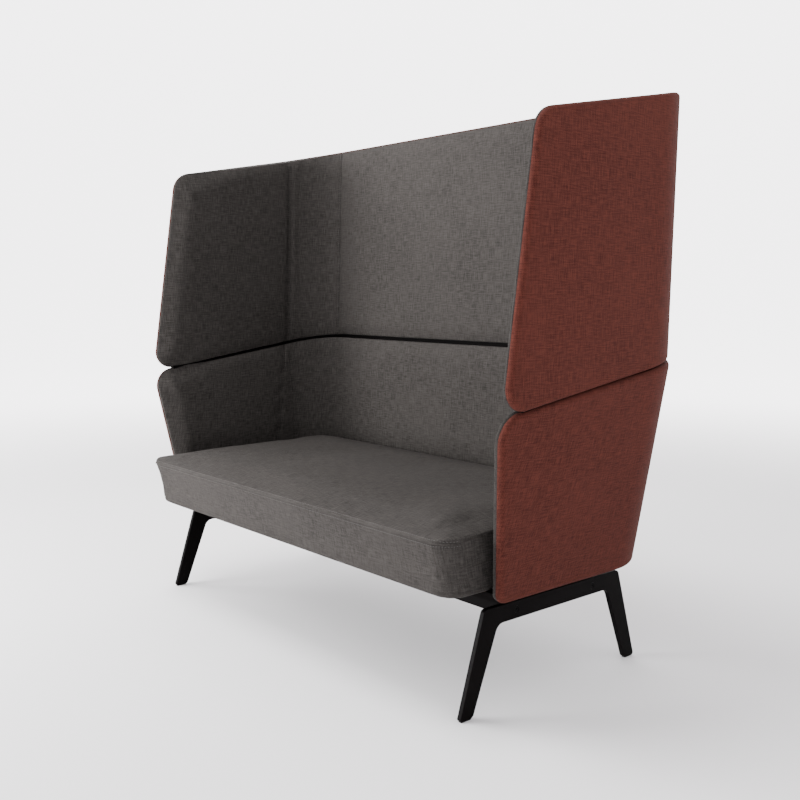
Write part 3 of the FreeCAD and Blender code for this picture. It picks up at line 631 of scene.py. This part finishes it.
def crown_rise(point, pad):
    """The top rises slowly from the free front edge and at once from the walls."""
    corners = seat_corners(SEAT_EDGE, pad)
    spot = Vector((point.x, point.y))
    inside = []
    for a, b in zip(corners, corners[1:] + corners[:1]):
        along = (b - a).normalized()
        inside.append(Vector((-along.y, along.x)).dot(spot - a))
    front, right_taper, right, rear, left, left_taper = [max(value, 0) for value in inside]
    open_side = min(front, right_taper + 0.02, left_taper + 0.02) / CROWN_FRONT
    wall_side = min(right, rear, left) / CROWN_WALL
    return (math.sin(min(open_side, 1) ** 0.5 * math.pi / 2)
            * math.sin(min(wall_side + 0.02, 1) ** 0.3 * math.pi / 2))


def seat_cushion(finish, shell, seat):
    pad = shell.cover_depth + shell.lower_pad
    low, high = SEAT_FLOOR, SEAT_EDGE
    front, rear, half = seat_front(high) - 0.01, seat_rear(high, pad) + 0.01, seat_side(high, pad) + 0.01
    cushion = new_piece("seat_cushion", bpy.ops.mesh.primitive_cube_add, size=1,
                        location=(0, (front + rear) / 2, (low + high) / 2),
                        scale=(2 * half, rear - front, high - low))
    with Bench(cushion) as bench:
        bench.trim(seat_planes(pad), fill=True)
        bench.choose("EDGE", lambda edge: min(vert.co.z for vert in edge.verts) > high - HAIR)
        bpy.ops.mesh.bevel(offset=seat.edge_roll, offset_type="OFFSET", segments=3, affect="EDGES")
        bench.choose("EDGE", lambda edge: max(vert.co.z for vert in edge.verts) < low + HAIR)
        bpy.ops.mesh.bevel(offset=0.012, offset_type="OFFSET", segments=3, affect="EDGES")
        bench.rule(0, steps(-half, half, SEAT_GRID))
        bench.rule(1, steps(front, rear, SEAT_GRID))
        seam = low + seat.seam_lift
        bench.rule(2, [seam - 0.004, seam - 0.002, seam, seam + 0.002, seam + 0.004])
        bench.rule(2, steps(seam + 0.004, high - seat.edge_roll, SEAT_GRID))
        bench.weld(0.0009)
    for vert in cushion.data.vertices:
        if vert.co.z > high - seat.edge_roll:
            vert.co.z += seat.crown * crown_rise(vert.co, pad)
    lay_cloth(cushion, seat_spot)

    def held(point):
        return 1 if point.z < low + seat.seam_lift + 0.001 else 0

    def room(point):
        free = ease(1 - seat_gauge(point, pad), 0.0, 0.08) if point.z > high - HAIR else 0
        face = ease(point.z, low + seat.seam_lift, low + 0.05) * ease(high - point.z, 0.004, 0.035)
        open_front = 1 - ease(point.y, -0.33, -0.24)
        return seat.swell * max(free, 0.6 * face * open_front)
    puff(cushion, held, room)

    def seam_at(point):
        if point.z > low + 0.05 or point.z < low + 0.002:
            return None
        inward = Vector((-point.x, -point.y, 0)).normalized()
        return abs(point.z - low - seat.seam_lift), inward
    sink(cushion, seam_at, 0.0025, 0.003)
    apply_modifier(cushion, "SUBSURF", levels=1, render_levels=1, uv_smooth="NONE")
    smooth(cushion)
    return finish_piece(cushion, finish, "seat_fabric", "seat_cover", "seat_foam")


def seat_spot(point, normal):
    if normal.z > 0.5 or normal.z < -0.7:
        return point.x, point.y
    turn = math.atan2(abs(point.x), -point.y)
    side = 1 if point.x > 0 else -1
    if abs(normal.y) > abs(normal.x):
        return point.x, point.z
    return side * (abs(point.x) + (point.y - seat_front(point.z)) + turn * 0.01), point.z


# Sewing: rows of single stitches, and the welt on the seat's front edge
def outline_run(pad, z, inset, end_y):
    """The seat's outline from wing to wing round the front, drawn in by an inset."""
    radii = [SEAT_CORNER, SEAT_CORNER, TAPER_RADIUS, PLAN_RADIUS / 2, PLAN_RADIUS / 2, TAPER_RADIUS]
    planes = arc_planes(seat_corners(z, pad), radii, lambda point, normal: (point, normal))
    run = [point - normal * inset for point, normal in planes]
    run = [point for point in run if point.y < end_y]
    run.sort(key=lambda point: math.atan2(point.x, RUN_MIDDLE - point.y))
    return [Vector((point.x, point.y, z)) for point in run]


def spread(points, pitch):
    """Points at an even pitch along a line of points."""
    placed = []
    left = 0
    for a, b in zip(points, points[1:]):
        span = (b - a).length
        while left <= span:
            placed.append((a + (b - a) * left / span, (b - a).normalized()))
            left += pitch
        left -= span
    return placed


THREAD_WIDTH = 0.0013
STITCH_SINK = 0.4


def stitch_rows(name, rows, base, seat, finish, slot):
    """Sew rows of stitches on a piece, each snapped to its surface."""
    stitch = new_piece(name, bpy.ops.mesh.primitive_uv_sphere_add, segments=6, ring_count=4,
                       radius=0.5)
    with Bench(stitch) as bench:
        bench.choose("VERT", lambda vert: vert.co.z < 0)
        bpy.ops.transform.resize(value=(1, 1, STITCH_SINK), center_override=(0, 0, 0))
        bpy.ops.mesh.select_all(action="SELECT")
        bpy.ops.transform.resize(value=(seat.stitch_length, THREAD_WIDTH, THREAD_WIDTH),
                                 center_override=(0, 0, 0))
    places = []
    for points, pull in rows:
        for point, along in spread(points, seat.stitch_pitch):
            _, spot, normal, _ = base.closest_point_on_mesh(point)
            across = normal.cross(along).normalized()
            along = across.cross(normal).normalized()
            place = Matrix((along, across, normal)).transposed().to_4x4()
            place.translation = spot + normal * pull
            places.append(place)
    copies = []
    for place in places:
        copy = stitch.copy()
        copy.data = stitch.data.copy()
        copy.matrix_world = place
        bpy.context.collection.objects.link(copy)
        copies.append(copy)
    bpy.data.objects.remove(stitch)
    alone(*copies)
    bpy.ops.object.join()
    sewn = bpy.context.object
    sewn.name = name
    bpy.ops.object.transform_apply(location=True, rotation=True, scale=True)
    smooth(sewn, math.pi)
    return finish_piece(sewn, finish, slot)


def swept(name, points, profile):
    """A profile swept along a line of points, by curves that are then made a mesh."""
    alone()
    path = bpy.data.curves.new(name, "CURVE")
    path.dimensions = "3D"
    path.twist_mode = "Z_UP"
    spline = path.splines.new("POLY")
    spline.points.add(len(points) - 1)
    for spot, point in zip(spline.points, points):
        spot.co = (*point, 1)
    shape = bpy.data.curves.new(name + "_profile", "CURVE")
    shape.dimensions = "2D"
    section = shape.splines.new("POLY")
    section.points.add(len(profile) - 1)
    for spot, (across, up) in zip(section.points, profile):
        spot.co = (across, up, 0, 1)
    section.use_cyclic_u = True
    shape_piece = bpy.data.objects.new(name + "_profile", shape)
    bpy.context.collection.objects.link(shape_piece)
    path.bevel_mode = "OBJECT"
    path.bevel_object = shape_piece
    path.use_fill_caps = True
    piece = bpy.data.objects.new(name, path)
    bpy.context.collection.objects.link(piece)
    alone(piece)
    bpy.ops.object.convert(target="MESH")
    bpy.data.objects.remove(shape_piece)
    with Bench(piece) as bench:
        bench.weld(HAIR)
    return piece


def oval(width, height, count, tilt):
    ring = []
    for i in range(count):
        turn = 2 * math.pi * i / count
        across, up = width / 2 * math.cos(turn), height / 2 * math.sin(turn)
        ring.append((across * math.cos(tilt) - up * math.sin(tilt),
                     across * math.sin(tilt) + up * math.cos(tilt)))
    return ring


# Materials
class Wire:
    """A value on its way through a material; arithmetic on it adds a Math node."""

    def __init__(self, finish, socket):
        self.finish, self.socket = finish, socket

    def __add__(self, other):
        return self.finish.math("ADD", self, other)

    def __sub__(self, other):
        return self.finish.math("SUBTRACT", self, other)

    def __mul__(self, other):
        return self.finish.math("MULTIPLY", self, other)

    def __radd__(self, other):
        return self.finish.math("ADD", other, self)

    def __rsub__(self, other):
        return self.finish.math("SUBTRACT", other, self)

    def __rmul__(self, other):
        return self.finish.math("MULTIPLY", other, self)


class Finish:
    """A material that is built up node by node."""

    def __init__(self, name):
        self.material = bpy.data.materials.new(name)
        self.material.use_nodes = True
        self.nodes = self.material.node_tree.nodes
        self.links = self.material.node_tree.links
        self.nodes.clear()

    def node(self, kind, settings, sockets, output=0):
        made = self.nodes.new(kind)
        for name, value in settings.items():
            setattr(made, name, value)
        for name, value in sockets.items():
            if isinstance(value, Wire):
                self.links.new(value.socket, made.inputs[name])
            else:
                made.inputs[name].default_value = value
        return Wire(self, made.outputs[output])

    def math(self, operation, first, second=0.0):
        return self.node("ShaderNodeMath", {"operation": operation}, {0: first, 1: second})

    def ramp(self, value, low, high):
        return self.node("ShaderNodeMapRange", {"interpolation_type": "SMOOTHSTEP"},
                         {"Value": value, "From Min": low, "From Max": high})

    def blend(self, factor, first, second, mode="MIX"):
        return self.node("ShaderNodeMix", {"data_type": "RGBA", "blend_type": mode},
                         {0: factor, 6: first, 7: second}, 2)

    def noise(self, place, scale, detail=2.0, roughness=0.5):
        return self.node("ShaderNodeTexNoise", {"normalize": True},
                         {"Vector": place, "Scale": scale, "Detail": detail, "Roughness": roughness})

    def stretch(self, place, scales):
        return self.node("ShaderNodeVectorMath", {"operation": "MULTIPLY"}, {0: place, 1: scales})

    def object_place(self):
        return self.node("ShaderNodeTexCoord", {}, {}, "Object")

    def cloth_place(self):
        return self.node("ShaderNodeUVMap", {"uv_map": "Weave"}, {})

    def bump(self, height, distance, strength=1.0):
        return self.node("ShaderNodeBump", {}, {"Height": height, "Distance": distance,
                                                "Strength": strength})

    def surface(self, changing, fixed):
        shader = self.node("ShaderNodeBsdfPrincipled", {}, {**fixed, **changing})
        output = self.nodes.new("ShaderNodeOutputMaterial")
        self.links.new(shader.socket, output.inputs["Surface"])
        return self.material


def opaque(colour, times=1.0, more=0.0):
    return (*(min(1, value * times + more) for value in colour), 1.0)


def woven(name, dark, light, pitch, slub, contrast, sheen):
    """Cloth of slubby two-tone yarn: single threads, long slubs and a cloudy shade."""
    cloth = Finish(name)
    place = cloth.cloth_place()
    thread = 1 / pitch
    warp = cloth.noise(cloth.stretch(place, (thread, thread / slub, 1)), 1.0, 2.0, 0.6)
    weft = cloth.noise(cloth.stretch(place, (thread / slub, thread, 1)), 1.0, 2.0, 0.6)
    fleck = cloth.noise(cloth.stretch(place, (thread, thread, 1)), 1.6, 1.0)
    across = cloth.node("ShaderNodeSeparateXYZ", {}, {0: place}, "X")
    up = Wire(cloth, across.socket.node.outputs["Y"])
    warp_wave = cloth.math("SINE", across * (math.pi * thread))
    weft_wave = cloth.math("SINE", up * (math.pi * thread))
    over = warp_wave * weft_wave
    lift = (cloth.math("ABSOLUTE", warp_wave) * (0.5 + 0.5 * over)
            + cloth.math("ABSOLUTE", weft_wave) * (0.5 - 0.5 * over))
    yarn = ((warp - 0.5) * contrast + (weft - 0.5) * contrast
            + (fleck - 0.5) * 0.5 + over * 0.10 + 0.5)
    cloud = cloth.noise(cloth.object_place(), 4.0, 3.0)
    tone = cloth.blend(cloth.ramp(yarn, 0.0, 1.0), opaque(dark), opaque(light))
    tone = cloth.blend(cloth.ramp(cloud, 0.3, 0.7) * 0.22, tone, opaque(light))
    slubs = (warp + weft) * 0.5
    height = lift * 0.45 + slubs * 0.9
    fine = cloth.bump(height, pitch * 0.35, 0.9)
    return cloth.surface({"Base Color": tone, "Roughness": cloth.ramp(yarn, 0, 1) * 0.12 + 0.80,
                          "Normal": fine},
                         {"Sheen Weight": sheen, "Sheen Roughness": 0.45,
                          "Sheen Tint": opaque(light, 2.2, 0.1),
                          "Specular IOR Level": 0.07})


def yarn_thread(name, colour):
    thread = Finish(name)
    place = thread.object_place()
    ply = thread.noise(place, 900.0, 1.0)
    tone = thread.blend(ply * 0.5, opaque(colour), opaque(colour, 0.6))
    return thread.surface({"Base Color": tone, "Roughness": ply * 0.2 + 0.6,
                           "Normal": thread.bump(ply, 0.0003, 0.6)}, {"Specular IOR Level": 0.1})


def coated(name, colour, rough, grain, metallic=0.0, gloss=0.12):
    """Powder coat or oxide: fine orange peel, cloudy gloss and faintly rubbed tone."""
    coat = Finish(name)
    place = coat.object_place()
    peel = coat.noise(place, grain, 2.0)
    cloud = coat.noise(place, 9.0, 3.0)
    tone = coat.blend(coat.ramp(cloud, 0.35, 0.75) * 0.6, opaque(colour), opaque(colour, 1.6, 0.0006))
    return coat.surface({"Base Color": tone, "Roughness": cloud * 0.18 + (rough - 0.09),
                         "Normal": coat.bump(peel, 0.0002, 0.35)},
                        {"Metallic": metallic, "Specular IOR Level": gloss})


def timber(name, light, dark, ply_pitch):
    """Wood in layers or boards: rings, long fibres and edge bands."""
    wood = Finish(name)
    place = wood.object_place()
    fibre = wood.noise(wood.stretch(place, (14.0, 160.0, 160.0)), 1.0, 3.0, 0.6)
    bands = wood.node("ShaderNodeTexWave", {"bands_direction": "Z", "wave_profile": "SIN"},
                      {"Vector": place, "Scale": 0.5 / ply_pitch, "Distortion": 0.6, "Detail": 1.0}, 1)
    tone = wood.blend(wood.ramp(bands * 0.55 + fibre * 0.45, 0.3, 0.75), opaque(dark), opaque(light))
    return wood.surface({"Base Color": tone, "Roughness": fibre * 0.2 + 0.5,
                         "Normal": wood.bump(fibre, 0.0004, 0.4)}, {"Specular IOR Level": 0.4})


def stained(name, colour):
    """Black stained board: open fibres under a thin matt lacquer."""
    board = Finish(name)
    fibre = board.noise(board.stretch(board.object_place(), (10.0, 240.0, 240.0)), 1.0, 3.0, 0.6)
    tone = board.blend(board.ramp(fibre, 0.4, 0.8), opaque(colour), opaque(colour, 1.8, 0.0008))
    return board.surface({"Base Color": tone, "Roughness": fibre * 0.25 + 0.5,
                          "Normal": board.bump(fibre, 0.0003, 0.5)}, {"Specular IOR Level": 0.02})


def foamed(name, colour):
    foam = Finish(name)
    cells = foam.node("ShaderNodeTexVoronoi", {}, {"Vector": foam.object_place(), "Scale": 700.0})
    tone = foam.blend(foam.ramp(cells, 0.2, 0.8), opaque(colour, 0.75), opaque(colour))
    return foam.surface({"Base Color": tone, "Roughness": cells * 0.1 + 0.85,
                         "Normal": foam.bump(cells, 0.0005, 0.5)}, {})


def banded(name, colour, pitch, stretch):
    """Webbing or lining cloth: ribs along one way, crossed by finer ones."""
    cloth = Finish(name)
    place = cloth.object_place()
    ribs = cloth.node("ShaderNodeTexWave", {"bands_direction": "X"},
                      {"Vector": place, "Scale": 0.5 / pitch}, 1)
    cross = cloth.node("ShaderNodeTexWave", {"bands_direction": "Y"},
                       {"Vector": place, "Scale": 0.5 / (pitch * stretch)}, 1)
    height = ribs * 0.6 + cross * 0.4
    tone = cloth.blend(cloth.ramp(height, 0.2, 0.9), opaque(colour, 0.5), opaque(colour))
    return cloth.surface({"Base Color": tone, "Roughness": height * 0.15 + 0.75,
                          "Normal": cloth.bump(height, 0.0004, 0.5)}, {"Specular IOR Level": 0.05})


def node_finishes(colours):
    """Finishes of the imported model's own nodes, by the record's material slots."""
    return {
        "plywood": timber("birch_plywood", (0.170, 0.115, 0.064), (0.100, 0.058, 0.028), 0.0016),
        "beech": timber("beech", (0.150, 0.087, 0.045), (0.100, 0.052, 0.025), 0.006),
        "foam": foamed("moulded_foam", (0.190, 0.178, 0.145)),
        "black_board": stained("black_stained_board", colours.black),
        "black_steel": coated("black_powder_coat", colours.black, 0.42, 1400.0, gloss=0.025),
        "upright_steel": coated("grey_primed_steel", (0.060, 0.060, 0.063), 0.5, 900.0, 0.4),
        "screw_steel": coated("zinc_plated_steel", (0.180, 0.177, 0.165), 0.32, 700.0, 1.0),
        "black_fasteners": coated("black_oxide_bolts", (0.0012, 0.0010, 0.0010), 0.40, 900.0, 0.0, 0.03),
        "webbing": banded("elastic_webbing", (0.030, 0.027, 0.025), 0.0024, 0.5),
        "black_cloth": banded("black_lining", (0.006, 0.0055, 0.0055), 0.0010, 1.0),
        "black_nylon": coated("black_nylon", (0.006, 0.006, 0.006), 0.55, 1200.0),
    }


def shared(name, colours):
    """A finish that several pieces share, made once."""
    makers = {
        "rust_melange": lambda: woven(name, colours.rust_dark, colours.rust_light,
                                      0.0025, 12.0, 1.1, 0.05),
        "grey_linen": lambda: woven(name, colours.grey_dark, colours.grey_light,
                                    0.0026, 12.0, 1.15, 0.03),
        # Black of the gap strip: painted shade for the dark gap between the tiers
        "black_felt": lambda: banded(name, colours.black, 0.0012, 1.0),
        # Thread of the seat's front edge: real thread, lighter than the cloth as partly painted highlight
        # of the welt's edges
        "sewing_thread": lambda: yarn_thread(name, colours.thread),
        # Thread of the pads' seams: real thread, darker than the cloth as partly painted shade in the
        # grooves
        "seam_thread": lambda: yarn_thread(name, colours.thread_and_seam_shade),
    }
    return bpy.data.materials.get(name) or makers[name]()


# Operators
class LoungeOperator(bpy.types.Operator):
    bl_options = {"REGISTER", "UNDO"}


class LOUNGE_OT_outer_covers(LoungeOperator):
    """Make the rust covers on the outside of both tiers"""
    bl_idname = "lounge.outer_covers"
    bl_label = "Outer covers"

    def execute(self, context):
        scene = context.scene
        for tier in TIERS.values():
            outer_cover(tier, shared("rust_melange", scene.lounge_colours), scene.lounge_shell)
        # The gap strip's black is painted shade, standing in for the dark of the gap between the tiers
        gap_strip(shared("black_felt", scene.lounge_colours))
        return {"FINISHED"}


class LOUNGE_OT_inner_pads(LoungeOperator):
    """Make the grey pads on the inside of both tiers, with their vertical seams"""
    bl_idname = "lounge.inner_pads"
    bl_label = "Inner pads"

    def execute(self, context):
        scene = context.scene
        shell = scene.lounge_shell
        cloth = shared("grey_linen", scene.lounge_colours)
        inner_pad(UPPER, shell.upper_pad, cloth, shell)
        inner_pad(LOWER, shell.lower_pad, cloth, shell)
        return {"FINISHED"}


class LOUNGE_OT_seat(LoungeOperator):
    """Make the crowned seat cushion"""
    bl_idname = "lounge.seat"
    bl_label = "Seat cushion"

    def execute(self, context):
        scene = context.scene
        seat_cushion(shared("grey_linen", scene.lounge_colours), scene.lounge_shell, scene.lounge_seat)
        return {"FINISHED"}


class LOUNGE_OT_sewing(LoungeOperator):
    """Sew the welt on the seat's front edge and all rows of stitches"""
    bl_idname = "lounge.sewing"
    bl_label = "Welt and stitches"

    def execute(self, context):
        scene = context.scene
        shell, seat = scene.lounge_shell, scene.lounge_seat
        cushion = bpy.data.objects["seat_cushion"]
        pad = shell.cover_depth + shell.lower_pad
        edge = outline_run(pad, SEAT_EDGE - 0.001, 0.001, -0.24)
        welt = swept("seat_front_welt", edge, oval(seat.welt_width, 0.0032, 12, math.radians(-40)))
        lay_cloth(welt, lambda point, normal: (point.x, point.y + point.z))
        smooth(welt, math.pi)
        finish_piece(welt, shared("grey_linen", scene.lounge_colours), "seat_fabric", "seat_edge_welt")
        # Light thread on the seat's front edge, partly painted highlight of the welt's edges
        thread = shared("sewing_thread", scene.lounge_colours)
        rows = [(outline_run(pad, SEAT_EDGE + 0.004, 0.0055, -0.24), 0.0001),
                (outline_run(pad, SEAT_EDGE - 0.007, 0, -0.24), 0.0001)]
        stitch_rows("seat_edge_stitches", rows, cushion, seat, thread, "seat_fabric")
        # The pads' seams get dark thread, partly painted shade in the seam grooves
        for tier in TIERS.values():
            depth = shell.cover_depth + (shell.upper_pad if tier is UPPER else shell.lower_pad)
            stitch_rows("%s_seam_stitches" % tier.name, seam_rows(tier, depth),
                        bpy.data.objects["%s_inner_pad" % tier.name], seat,
                        shared("seam_thread", scene.lounge_colours), "inner_fabric")
        return {"FINISHED"}


SEAM_MARGIN = 0.012


def seam_rows(tier, depth):
    """Two rows of stitches along each vertical seam of a pad."""
    rows = []
    for seam in tier.seams():
        for shift in (-SEAM_HALF, SEAM_HALF):
            for side in SIDES:
                y = tier_spot(tier, side * (seam + shift), tier.bottom, depth)[0].y
                low, high = ((gap_height(y), top_height(y)) if tier is UPPER
                             else (SEAT_EDGE - SEAM_MARGIN, gap_height(y)))
                ends = [tier_spot(tier, side * (seam + shift), z, depth)[0]
                        for z in (low + SEAM_MARGIN, high - SEAM_MARGIN)]
                rows.append((ends, 0.0002))
    return rows


class LOUNGE_OT_finishes(LoungeOperator):
    """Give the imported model's own nodes their finishes"""
    bl_idname = "lounge.finishes"
    bl_label = "Node finishes"

    def execute(self, context):
        finishes = node_finishes(context.scene.lounge_colours)
        slots = node_slots()
        for name, node in frame["nodes"].items():
            if node.hide_render:
                continue
            finish = finishes[slots[name]]
            for holder in node.material_slots:
                holder.material = finish
            if not node.material_slots:
                node.data.materials.append(finish)
        return {"FINISHED"}


def node_slots():
    """The record's material slot of each node."""
    return {part["node"]: part["material_slot"] for part in frame["record"]["subparts"]}


# Each light's place and width
LAMPS = {"key": ((-1.6, -2.6, 0.8), 1.4), "side": ((-4.6, -2.4, 2.6), 2.4), "top": ((-0.8, -1.0, 5.2), 2.2)}
CAMERA_PLACE = (2.0378, -1.674, 0.9117)
CAMERA_TILT, CAMERA_TURN = 0.1128, 0.8628
CAMERA_LENS, CAMERA_SENSOR = 43.46, 36.0


class LOUNGE_OT_studio(LoungeOperator):
    """Set up the pale floor, the soft lights and the camera"""
    bl_idname = "lounge.studio"
    bl_label = "Studio"

    def execute(self, context):
        scene = context.scene
        colours, studio = scene.lounge_colours, scene.lounge_studio
        backdrop(colours, studio.glow)
        world = bpy.data.worlds.new("even_sky")
        world.use_nodes = True
        sky = world.node_tree.nodes["Background"]
        sky.inputs["Color"].default_value = (1.0, 0.985, 1.0, 1.0)
        sky.inputs["Strength"].default_value = studio.sky
        scene.world = world
        for name, (place, width) in LAMPS.items():
            soft_light(name, place, width, getattr(studio, name))
        camera = bpy.data.objects.new("camera", bpy.data.cameras.new("camera"))
        scene.collection.objects.link(camera)
        camera.data.sensor_width = CAMERA_SENSOR
        camera.data.lens = CAMERA_LENS
        camera.location = CAMERA_PLACE
        camera.rotation_euler = (math.pi / 2 - CAMERA_TILT, 0, CAMERA_TURN)
        camera.data.clip_end = 100
        scene.camera = camera
        return {"FINISHED"}


AIM = Vector((0, 0, 0.6))
GLOW_REACH = (2.2, 6.5)


def soft_light(name, place, width, power):
    lamp = bpy.data.lights.new(name, "AREA")
    lamp.shape = "DISK"
    lamp.size = width
    lamp.energy = power
    holder = bpy.data.objects.new(name, lamp)
    bpy.context.scene.collection.objects.link(holder)
    holder.location = place
    holder.rotation_euler = (AIM - Vector(place)).to_track_quat("-Z", "Y").to_euler()
    return holder


def backdrop(colours, glow):
    """A wide floor that turns up into a wall far behind the sofa and glows faintly there."""
    sweep = new_piece("studio_floor", bpy.ops.mesh.primitive_plane_add, size=24)
    with Bench(sweep) as bench:
        bench.choose("EDGE", lambda edge: min(vert.co.y for vert in edge.verts) > 0)
        bpy.ops.mesh.extrude_region_move(TRANSFORM_OT_translate={"value": (0, 0, 12)})
        bench.choose("EDGE", lambda edge: min(vert.co.y for vert in edge.verts) > 0
                     and max(vert.co.z for vert in edge.verts) < HAIR)
        bpy.ops.mesh.bevel(offset=5, offset_type="OFFSET", segments=24, affect="EDGES")
        bpy.ops.mesh.select_all(action="SELECT")
        bpy.ops.transform.rotate(value=-math.radians(49.4), orient_axis="Z", center_override=(0, 0, 0))
        bpy.ops.mesh.normals_make_consistent(inside=True)
    smooth(sweep, math.pi)
    paint = Finish("pale_floor")
    cloud = paint.noise(paint.object_place(), 2.0, 2.0)
    tone = paint.blend(cloud * 0.3, opaque(colours.floor), opaque(colours.floor, 0.985))
    far = paint.node("ShaderNodeVectorMath", {"operation": "LENGTH"}, {0: paint.object_place()}, "Value")
    shine = paint.blend(paint.ramp(far, *GLOW_REACH), opaque((0, 0, 0)), opaque((1.0, 0.985, 1.0)))
    sweep.data.materials.append(paint.surface({"Base Color": tone, "Roughness": cloud * 0.1 + 0.75,
                                               "Emission Color": shine},
                                              {"Specular IOR Level": 0.05, "Emission Strength": glow}))


class LOUNGE_PT_sidebar(bpy.types.Panel):
    """The sofa's pieces, sizes and colours"""
    bl_idname = "LOUNGE_PT_sidebar"
    bl_label = "Lounge sofa"
    bl_space_type = "VIEW_3D"
    bl_region_type = "UI"
    bl_category = "Lounge"

    def draw(self, context):
        for name, group in GROUPS.items():
            box = self.layout.box()
            for setting in group.__annotations__:
                box.prop(getattr(context.scene, name), setting)
        for operator in OPERATORS:
            self.layout.operator(operator.bl_idname)


OPERATORS = (LOUNGE_OT_outer_covers, LOUNGE_OT_inner_pads, LOUNGE_OT_seat, LOUNGE_OT_sewing,
             LOUNGE_OT_finishes, LOUNGE_OT_studio)
CLASSES = (*GROUPS.values(), *OPERATORS, LOUNGE_PT_sidebar)


def register():
    for item in CLASSES:
        bpy.utils.register_class(item)
    for name, group in GROUPS.items():
        setattr(bpy.types.Scene, name, bpy.props.PointerProperty(type=group))


def unregister():
    for name in GROUPS:
        delattr(bpy.types.Scene, name)
    for item in reversed(CLASSES):
        bpy.utils.unregister_class(item)


def main():
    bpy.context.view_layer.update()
    register()
    bpy.ops.lounge.outer_covers()
    bpy.ops.lounge.inner_pads()
    bpy.ops.lounge.seat()
    bpy.ops.lounge.sewing()
    bpy.ops.lounge.finishes()
    bpy.ops.lounge.studio()


if __name__ == "__main__":
    main()
